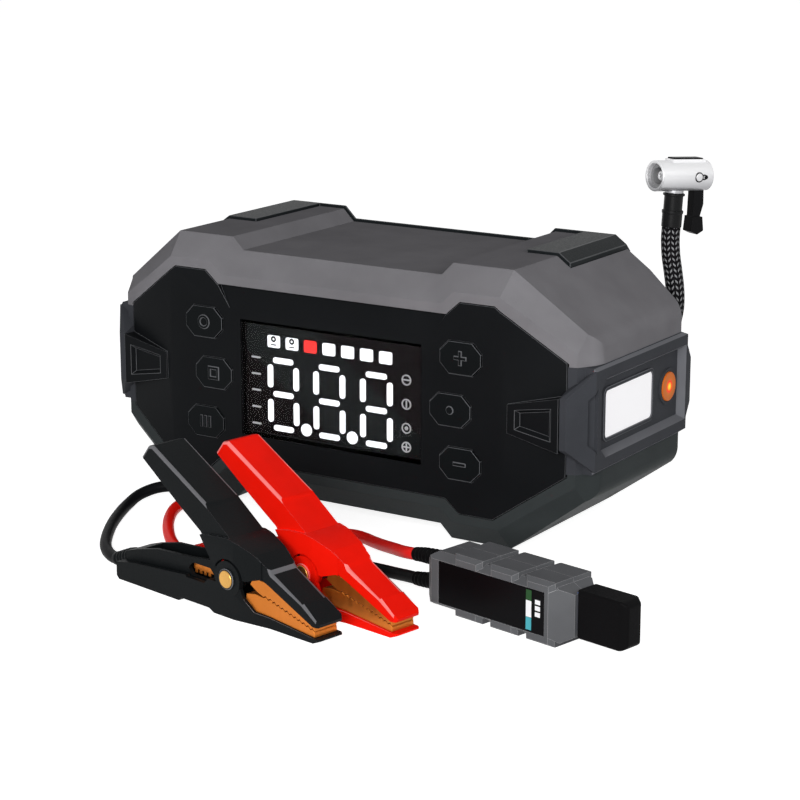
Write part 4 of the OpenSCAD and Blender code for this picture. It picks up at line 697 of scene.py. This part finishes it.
def swept(name, line, radii, sides, up):
    """A tube along a line, with one radius for each point, and the length of the line. Its map's
    V runs along it in metres, its U round it."""
    mesh = bpy.data.meshes.new(name)
    bm = bmesh.new()
    uv = bm.loops.layers.uv.new("along")
    rings, run = [], [0.0]
    side = Vector(up)
    for i, here in enumerate(line):
        if i:
            run.append(run[-1] + (here - line[i - 1]).length)
        ahead = (line[min(i + 1, len(line) - 1)] - line[max(i - 1, 0)]).normalized()
        side = (side - ahead * side.dot(ahead)).normalized()
        over = ahead.cross(side)
        rings.append([bm.verts.new(here + radii[i] * (side * math.cos(a) + over * math.sin(a)))
                      for a in (2 * math.pi * k / sides for k in range(sides))])
    for i in range(len(rings) - 1):
        for k in range(sides):
            n = (k + 1) % sides
            face = bm.faces.new((rings[i][k], rings[i][n], rings[i + 1][n], rings[i + 1][k]))
            face.smooth = True
            corners = ((k, i), (k + 1, i), (k + 1, i + 1), (k, i + 1))
            for loop, (u, v) in zip(face.loops, corners):
                loop[uv].uv = (u / sides, run[v])
    bm.faces.new(list(reversed(rings[0])))
    bm.faces.new(rings[-1])
    bmesh.ops.recalc_face_normals(bm, faces=bm.faces)
    bm.to_mesh(mesh)
    bm.free()
    piece = bpy.data.objects.new(name, mesh)
    bpy.context.scene.collection.objects.link(piece)
    return piece, run[-1]


def cord_along(route, node, name, radius, sides, up, finish):
    """The piece that stands for a cord's solid, the line it follows and its length."""
    line = smooth_route(route)
    piece, length = swept(name, line, [radius * MM] * len(line), sides, up)
    wear(piece, finish)
    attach(piece, "unit")
    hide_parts(node)
    return piece, line, length


def relief_sleeve(name, line, start, length, wide, narrow, finish, slot):
    """A ribbed sleeve that tapers off along a cord, from a distance along its line."""
    start, length, wide, narrow = (v * MM for v in (start, length, wide, narrow))
    points, radii, gone = [], [], 0.0
    for before, here in zip(line, line[1:]):
        step = (here - before).length
        pieces = max(1, round(step / SLEEVE_STEP))
        for k in range(pieces):
            along = gone + step * k / pieces
            if start <= along <= start + length:
                share = (along - start) / length
                ribbed = int((along - start) / RIB_STEP) % 2 and 0.12 < share < 0.9
                points.append(before + (here - before) * (k / pieces))
                radii.append(wide + (narrow - wide) * share - (RIB_DEPTH if ribbed else 0))
        gone += step
    radii[-1] = narrow - LIP_DEPTH
    up = Z_AXIS if abs((points[-1] - points[0]).z) < FLAT_WITHIN else Y_AXIS
    sleeve, _ = swept(name, points, radii, SLEEVE_SIDES, up)
    wear(sleeve, finish)
    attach(sleeve, "unit")


hose, hose_line, hose_length = cord_along(
    HOSE_ROUTE, "air_hose", "braided_hose", HOSE_RADIUS, HOSE_SIDES, Y_AXIS, "hose")
lead_b, black_line, black_length = cord_along(
    BLACK_ROUTE, "lead_black", "black_lead", LEAD_RADIUS, LEAD_SIDES, Z_AXIS, "lead_black")
lead_r, red_line, red_length = cord_along(
    RED_ROUTE, "lead_red", "red_lead", LEAD_RADIUS, LEAD_SIDES, Z_AXIS, "lead_red")

# name, line, start, length, wide and narrow radius, finish, slot
for sleeve in (
        ("black_heel_sleeve", black_line, 6.5, 16, 4.1, 3.0, "clamp_black", "clamp_black"),
        ("red_heel_sleeve", red_line, 6.5, 16, 4.1, 3.0, "clamp_red", "clamp_red"),
        ("black_box_sleeve", black_line[::-1], 4, 17, 4.0, 3.0, "rubber", "black_rubber"),
        ("red_box_sleeve", red_line[::-1], 4, 17, 4.0, 3.0, "rubber", "black_rubber"),
        ("outlet_sleeve", hose_line, 0.5, 19, 5.5, 4.7, "rubber", "black_rubber")):
    relief_sleeve(*sleeve)


# ---- shells and panels ----

SIDE_X = 128.9
UPPER_CORNER_Z, LOWER_CORNER_Z, WAIST_Z = 102, 30, 66
CORNER_RADIUS = 0.005
LENS_MARGIN = 2.5


def side_corner(level):
    """Tests for a long edge of a side: one that runs back at a level, or an upright one at the
    front."""
    def test(a, b):
        if not all(abs(p.x) > SIDE_X for p in (a, b)):
            return False
        along = abs(a.y - b.y) > 20 and all(abs(p.z - level) < 1.2 for p in (a, b))
        upright = abs(a.z - b.z) > 6 and all(p.y < -30 and abs(p.z - WAIST_Z) > 22
                                             for p in (a, b))
        return along or upright
    return test


def slope_highlight_faces(normal, middle):
    """Tests for the sloping faces of the right bumper behind its front corner, which take a painted
    highlight.
    """
    return 0.3 < normal.x < 0.95 and 128.1 < middle.x < 131.6 and middle.y > -42


def beside_lens(normal, middle):
    return all(min(c[i] for c in lens) - LENS_MARGIN < middle[i]
               < max(c[i] for c in lens) + LENS_MARGIN for i in (0, 2))


lens = [Vector(corner) / MM for corner in frame["nodes"]["display_window"].bound_box]

for shell, finish, level in (("upper_shell", "upper", UPPER_CORNER_Z),
                             ("lower_shell", "lower", LOWER_CORNER_Z)):
    softened(shell, finish, 0.0008, 3,
             first=lambda p: bevel_where(p, side_corner(level), CORNER_RADIUS, 5))
# The bumpers, fascia, rear shell and keys get a painted highlight on their rounded edges, and the
# right bumper on its sloping bay faces too.
softened("right_bumper", "bumper", 0.0007, edge="bumper_edge",
         first=lambda p: paint_where(p, slope_highlight_faces))
softened("left_bumper", "bumper", 0.0007, edge="bumper_edge")
fascia = softened("front_fascia", "panel", 0.0005, edge="panel_edge")
# The painted edge highlight is taken off the fascia round the lens.
paint_where(fascia, beside_lens, 0)
softened("rear_shell", "rear", 0.0008, edge="rear_edge")
for key in ("left_top", "left_mid", "left_low", "right_top", "right_mid", "right_low"):
    softened("key_" + key, "key", 0.0004, edge="key_edge")
softened("port_cover", "cover", 0.0004)
softened("feet", "foot", 0.0006)
softened("hose_outlet", "rear", 0.0004)


# ---- work lamp and power button ----

RIM_LOW, RIM_HIGH = (127.9, -29.4, 53.6), (128.9, 19.4, 78.4)
RIM_CORNER, RIM_BORDER = 0.0036, 0.0017
LAMP_CORNER = 0.0026


def long_way(axis, least):
    """Tests for an edge that runs along one axis for at least so many millimetres."""
    return lambda a, b: (abs((a - b)[axis]) > least
                         and (a - b).length - abs((a - b)[axis]) < 0.01)


softened("lamp_window", "lamp", 0.0003,
         first=lambda p: bevel_where(p, long_way(0, 1.5), LAMP_CORNER, 6))
rim = bar("lamp_rim", RIM_LOW, RIM_HIGH)
bevel_where(rim, long_way(0, 0.8), RIM_CORNER, 6)
select_where(rim, "FACE", lambda face: abs(face.normal.x) > 0.9)
bpy.ops.mesh.inset(thickness=RIM_BORDER, depth=0)
bpy.ops.mesh.bridge_edge_loops()
bpy.ops.object.mode_set(mode="OBJECT")
# The rim's rounded edges get a painted highlight.
finished(rim, "bumper", width=0.0003, edge="bumper_edge")

softened("power_button", "orange", 0.0009, 4)


# ---- display: x and z from its middle, in millimetres ----

DISPLAY_X, DISPLAY_Z = -0.95, 64.95
FRONT_Y, BACK_Y = -51.9, -51.4
FORWARD = (0, -1, 0)
FLAT_SIZE, FLAT_Z = (11.3, 2.7, 1.3), (10.2, -5.9, -22.2)
UPRIGHT_SIZE, UPRIGHT_X, UPRIGHT_Z = (3.0, 10.9, 1.4), (-7.3, 7.3), (2.35, -14.25)
FIGURE_X, FIGURE_STEP = -0.2, 25.8
POINT_X, POINT_Z, POINT_RADIUS = (-13.1, 12.4), -20.9, 2.95
SQUARE_X, SQUARE_STEP, SQUARE_Z, SQUARE_SIZE = -31.15, 10.3, 19, (6.9, 5.7, 0.9)
SIGN_Z, SIGN_FOOT_Z, SIGN_HALF = 20.2, (17.2, 17.8), 1.5
MARK_X, MARK_Z = 41.7, (10.2, -1.0, -12.2, -21.0)
MARK_LONG, MARK_SHORT = 1.7, 0.3
DASH_X, DASH_Z, DASH_SIZE = -41.5, (10.4, 2.5, -5.3, -13.4, -21.5), (5.0, 0.8, 0.35)
SKIN = 0.02


def on_display(x, y, z):
    return (x + DISPLAY_X, y, z + DISPLAY_Z)


def lit_bar(name, x, z, size):
    """A bar with rounded corners. Size: its width, its height and the radius of its corners."""
    wide, high, corner = size
    piece = bar(name, on_display(x - wide / 2, FRONT_Y, z - high / 2),
                on_display(x + wide / 2, BACK_Y, z + high / 2))
    bevel_where(piece, long_way(1, 0.3), corner * MM, 5)
    return piece


def lit_figure(name):
    """A figure of eight from three flat and four upright bars."""
    bars = [lit_bar("flat_bar", 0, z, FLAT_SIZE) for z in FLAT_Z]
    bars += [lit_bar("upright_bar", x, z, UPRIGHT_SIZE) for x in UPRIGHT_X for z in UPRIGHT_Z]
    return joined(name, bars)


def lit_square(name, number):
    return lit_bar(name, SQUARE_X + SQUARE_STEP * number, SQUARE_Z, SQUARE_SIZE)


def mark_bar(x, z, half_wide, half_high):
    return bar("mark_bar", on_display(x - half_wide, FRONT_Y + 0.1, z - half_high),
               on_display(x + half_wide, BACK_Y, z + half_high))


first_figure = lit_figure("first_figure")
lit_parts = [copy_of(first_figure, "figure",
                     Matrix.Translation(((FIGURE_X + FIGURE_STEP * k) * MM, 0, 0)))
             for k in (-1, 0, 1)]
only(first_figure)
bpy.ops.object.delete()
for x in POINT_X:
    lit_parts.append(disc("point", on_display(x, BACK_Y, POINT_Z), FORWARD, POINT_RADIUS, 0.5, 32))
lit_parts += [lit_square("square", k) for k in (0, 1, 3, 4, 5, 6)]
figures = joined("lit_figures", lit_parts)
red_square = lit_square("red_square", 2)
signs = []
for x in (SQUARE_X, SQUARE_X + SQUARE_STEP):
    signs.append(ring("screen_sign", on_display(x, FRONT_Y + SKIN, SIGN_Z), FORWARD, 0.55, 1.5,
                      0.06, 20))
    signs.append(bar("screen_foot", on_display(x - SIGN_HALF, FRONT_Y - 2 * SKIN, SIGN_FOOT_Z[0]),
                     on_display(x + SIGN_HALF, FRONT_Y + SKIN, SIGN_FOOT_Z[1])))
dark_signs = joined("screen_signs", signs)
marks = []
for k, z in enumerate(MARK_Z):
    marks.append(ring("round_mark", on_display(MARK_X, BACK_Y, z), FORWARD, 1.95, 2.5, 0.4, 28))
    if k in (0, 3):
        marks.append(mark_bar(MARK_X, z, MARK_LONG, MARK_SHORT))
    if k in (1, 3):
        marks.append(mark_bar(MARK_X, z, MARK_SHORT, MARK_LONG))
    if k == 2:
        marks.append(disc("mark_dot", on_display(MARK_X, BACK_Y, z), FORWARD, 0.9, 0.4, 16))
marks += [lit_bar("unit_dash", DASH_X, z, DASH_SIZE) for z in DASH_Z]
faint = joined("unit_marks", marks)
for piece, finish in ((figures, "figure_white"), (red_square, "figure_red"),
                      (dark_signs, "box_black"), (faint, "sign_grey")):
    finished(piece, finish, width=0.00004, segments=1)
    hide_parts("display_segments")


# ---- air chuck: built upright on its sleeve, then placed ----

CHUCK = (Matrix.Translation(Vector((114.4, 62, 135)) * MM)
         @ Matrix.Rotation(math.radians(-116), 4, "Z")
         @ Matrix.Rotation(math.radians(-4), 4, "Y"))
AXIS_Z = 23.8
X_AXIS = (1, 0, 0)

softened("hose_sleeve", "gloss_black", 0.0005, 3)
softened("chuck_barrel", "silver", 0.0005, 3)
softened("chuck_lever", "lever", 0.0006, 3)

# shape, name, its measures, finish, slot, width and segments of its rounding
CHUCK_EXTRAS = (
    (ring, "sleeve_collar", ((0, 0, 6.2), Z_AXIS, 4.2, 5.0, 1.6),
     "gloss_black", "black_rubber", 0.0003, 3),
    (ring, "sleeve_lip", ((0, 0, 14.6), Z_AXIS, 4.0, 5.1, 1.0),
     "gloss_black", "black_rubber", 0.0002, 3),
    (ring, "neck_ring", ((0, 0, 15.6), Z_AXIS, 3.2, 4.3, 1.8),
     "silver", "silver_alloy", 0.0003, 3),
    (bar, "barrel_strip", ((-13.4, -2.7, AXIS_Z + 7.8), (3.4, 2.7, AXIS_Z + 8.5)),
     "lever", "black_rubber", 0.0003, 3),
    (disc, "barrel_rivet", ((-8.4, 6.0, AXIS_Z), Y_AXIS, 1.9, 1.55),
     "silver", "silver_alloy", 0.0004, 3),
    (ring, "pin_cup", ((-11.3, 6.8, AXIS_Z), Y_AXIS, 0.75, 1.35, 0.7),
     "gloss_black", "black_rubber", 0.0002, 2),
    (ring, "rivet_seat", ((-8.4, 6.2, AXIS_Z), Y_AXIS, 1.85, 2.35, 1.2),
     "gloss_black", "black_rubber", 0.0001, 2),
    (ring, "mouth_ring", ((11.4, 0, AXIS_Z), X_AXIS, 5.75, 6.9, 0.9),
     "silver", "silver_alloy", 0.0003, 3),
)
chuck_extras = [finished(shape(name, *measures, place=CHUCK), finish, width=width,
                         segments=segments)
                for shape, name, measures, finish, slot, width, segments in CHUCK_EXTRAS]
core = finished(ring("valve_core", (1.2, 0, AXIS_Z), X_AXIS, 0.8, 2.3, 7.6, place=CHUCK),
                "silver", body="chuck_plunger", width=0.0005, segments=3)


# ---- box between the leads and the plug ----

LAID_TURN = math.radians(-12)
LABEL_Y, LABEL_EDGE = (-13.06, -12.9), 0.00003
LABEL_BAR_X, LABEL_SQUARE_X = (60.4, 63.3), (65.2, 67.9)
LABEL_BARS = (("green", (17.6, 22.0)), ("white", (10.6, 17.5)), ("teal", (5.2, 10.5)))
LABEL_SQUARES, LABEL_SQUARE_HIGH = (11.6, 14.2, 16.8), 1.9


def laid(x, y):
    """The place of a thing that lies on the floor in front of the body, slightly turned."""
    return Matrix.Translation((x * MM, y * MM, 0)) @ Matrix.Rotation(LAID_TURN, 4, "Z")


BOX = laid(95.8, -112.8)

# The box halves get a painted highlight on their rounded edges.
softened("box_front", "box", 0.0007, 3, edge="box_edge")
softened("box_rear", "box", 0.0007, 3, edge="box_edge")
softened("box_window", "box_black", 0.0004, 3)
softened("jump_plug", "blue", 0.0004)
softened("plug_cap", "rubber", 0.0009, 3)


def label_bar(name, x, z):
    return bar(name, (x[0], LABEL_Y[0], z[0]), (x[1], LABEL_Y[1], z[1]), place=BOX)


label = [finished(label_bar(f"label_{colour}_bar", LABEL_BAR_X, z), "label_" + colour,
                  width=LABEL_EDGE) for colour, z in LABEL_BARS]
label_squares = joined("label_squares", [
    label_bar("label_square", LABEL_SQUARE_X, (z, z + LABEL_SQUARE_HIGH)) for z in LABEL_SQUARES])
label.append(finished(label_squares, "label_white", width=LABEL_EDGE))


# ---- clamps: x and z along the clamp as it lies, in millimetres ----

HANDLE_LINE = [(17.8, 58.1), (22, 63.4), (25, 64), (57.8, 46)]
MIDDLE_LINE = [(59.8, 43.8), (73.5, 34.2)]
NOSE_LINE = [(95, 24.8), (96.6, 23.3), (113.5, 14.3)]
TIP_LINE = [(114.1, 15), (122.3, 9.9)]
CHEEK_LINE = [(55.8, 32.2), (62, 33.4), (68, 33.9), (73.5, 34.2), (79, 33), (87.5, 29.8),
              (95, 24.8)]
SEAT_LINE = [(120.5, 2.2), (87, 5.4), (81.6, 10)]
LINE_WITHIN, OUTER_Y = 0.35, 5
# Where the black clamp's saddle gets a painted highlight.
SADDLE_HIGHLIGHT_AT, SADDLE_HIGHLIGHT_WITHIN = Vector((95.8, 0, 24.05)), 0.9
STRIP_Y, STRIP_HALF = 4.78, 0.25
STRIP_X, STRIP_Z = (45.5, 58.5), (13.9, 16.2)
TOOTH_X, TOOTH_WIDE, TOOTH_Z = (46.2, 49.0, 51.8, 54.6), 1.5, (12.4, 14.0)
RIVET_AT, RIVET_RING = (72.7, 10.4, 16.8), (3.5, 4.5, 0.9)


def beside(line, x, z):
    """Whether a point lies close to a line of straight parts."""
    for (x0, z0), (x1, z1) in zip(line, line[1:]):
        dx, dz = x1 - x0, z1 - z0
        t = max(0, min(1, ((x - x0) * dx + (z - z0) * dz) / (dx * dx + dz * dz)))
        if math.hypot(x - x0 - t * dx, z - z0 - t * dz) < LINE_WITHIN:
            return True
    return False


def outer_edge(place, *lines):
    """Tests for an edge on the outer corner of an arm that runs along one of the lines."""
    back = place.inverted()

    def test(a, b):
        p, q = (back @ (v * MM) / MM for v in (a, b))
        if p.y * q.y < 0 or abs(p.x - q.x) + abs(p.z - q.z) < 0.5 or abs(p.y) <= OUTER_Y:
            return False
        return any(beside(line, p.x, p.z) and beside(line, q.x, q.z) for line in lines)
    return test


def upper_arm_highlights(piece, place):
    """Rounded edges in a painted highlight along the top of an upper arm, and a painted highlight
    on the black one's saddle.
    """
    back = place.inverted()
    if piece.name.startswith("black"):
        paint_where(piece, lambda n, c: (back @ (c * MM) / MM - SADDLE_HIGHLIGHT_AT).length < SADDLE_HIGHLIGHT_WITHIN)
    bevel_where(piece, outer_edge(place, HANDLE_LINE, NOSE_LINE, TIP_LINE), 0.0012, 2, 1, False)
    bevel_where(piece, outer_edge(place, MIDDLE_LINE), 0.0008, 2, 1)
    bevel_where(piece, outer_edge(place, CHEEK_LINE), 0.0005, 2, 1)


def contact_strip(name, y, place):
    """A strip with four teeth along one side of a clamp, behind its rivet."""
    low, high = y - STRIP_HALF, y + STRIP_HALF
    strip = [bar("strip_back", (STRIP_X[0], low, STRIP_Z[0]), (STRIP_X[1], high, STRIP_Z[1]),
                 place=place)]
    strip += [bar("strip_tooth", (x, low, TOOTH_Z[0]), (x + TOOTH_WIDE, high, TOOTH_Z[1]),
                  place=place) for x in TOOTH_X]
    return joined(name, strip)


for side, place in (("black", laid(-33.8, -154.8)), ("red", laid(-11.4, -132.4))):
    # The pale edge finish of each clamp is a painted highlight on its rounded edges.
    plastic, pale = "clamp_" + side, f"clamp_{side}_edge"
    softened(side + "_upper_arm", plastic, 0.0005, edge=pale, all_edges=False,
             first=lambda p: upper_arm_highlights(p, place))
    softened(side + "_lower_arm", plastic, 0.0006, edge=pale, all_edges=False,
             first=lambda p: bevel_where(p, outer_edge(place, SEAT_LINE), 0.0006, 2, 1))
    for arm in ("lower", "upper"):
        softened(f"{side}_{arm}_jaw", "copper", 0.00025)
    for way, where in ((-1, "near"), (1, "far")):
        finished(contact_strip(f"{side}_contact_strip_{where}", way * STRIP_Y, place),
                 "copper", width=0.00012)
        x, y, z = RIVET_AT
        finished(ring(f"{side}_rivet_ring_{where}", (x, y * way, z), (0, way, 0), *RIVET_RING,
                      place=place), plastic, width=0.0003, segments=3, edge=pale)
softened("clamp_rivets", "brass", 0.0004, 3)


# ---- solids that are shown as they are ----

PLAIN = {
    "display_window": "glass", "front_board": "display_board", "lamp_board": "board",
    "jump_socket": "blue", "port_board": "board", "case_screws": "steel",
    "battery_cells": "foil", "main_board": "board", "pump_block": "cast",
    "cylinder_head": "cast", "pump_piston": "nylon", "crank_gear": "nylon",
    "pump_motor": "steel", "motor_pinion": "brass", "air_tube": "tube", "chuck_seal": "seal",
    "chuck_plunger": "brass", "box_board": "board", "black_spring": "steel",
    "red_spring": "steel",
}
for node, finish in PLAIN.items():
    wear(frame["nodes"][node], finish)
    only(frame["nodes"][node])
    bpy.ops.object.shade_smooth_by_angle(angle=PLAIN_SMOOTH_ANGLE)
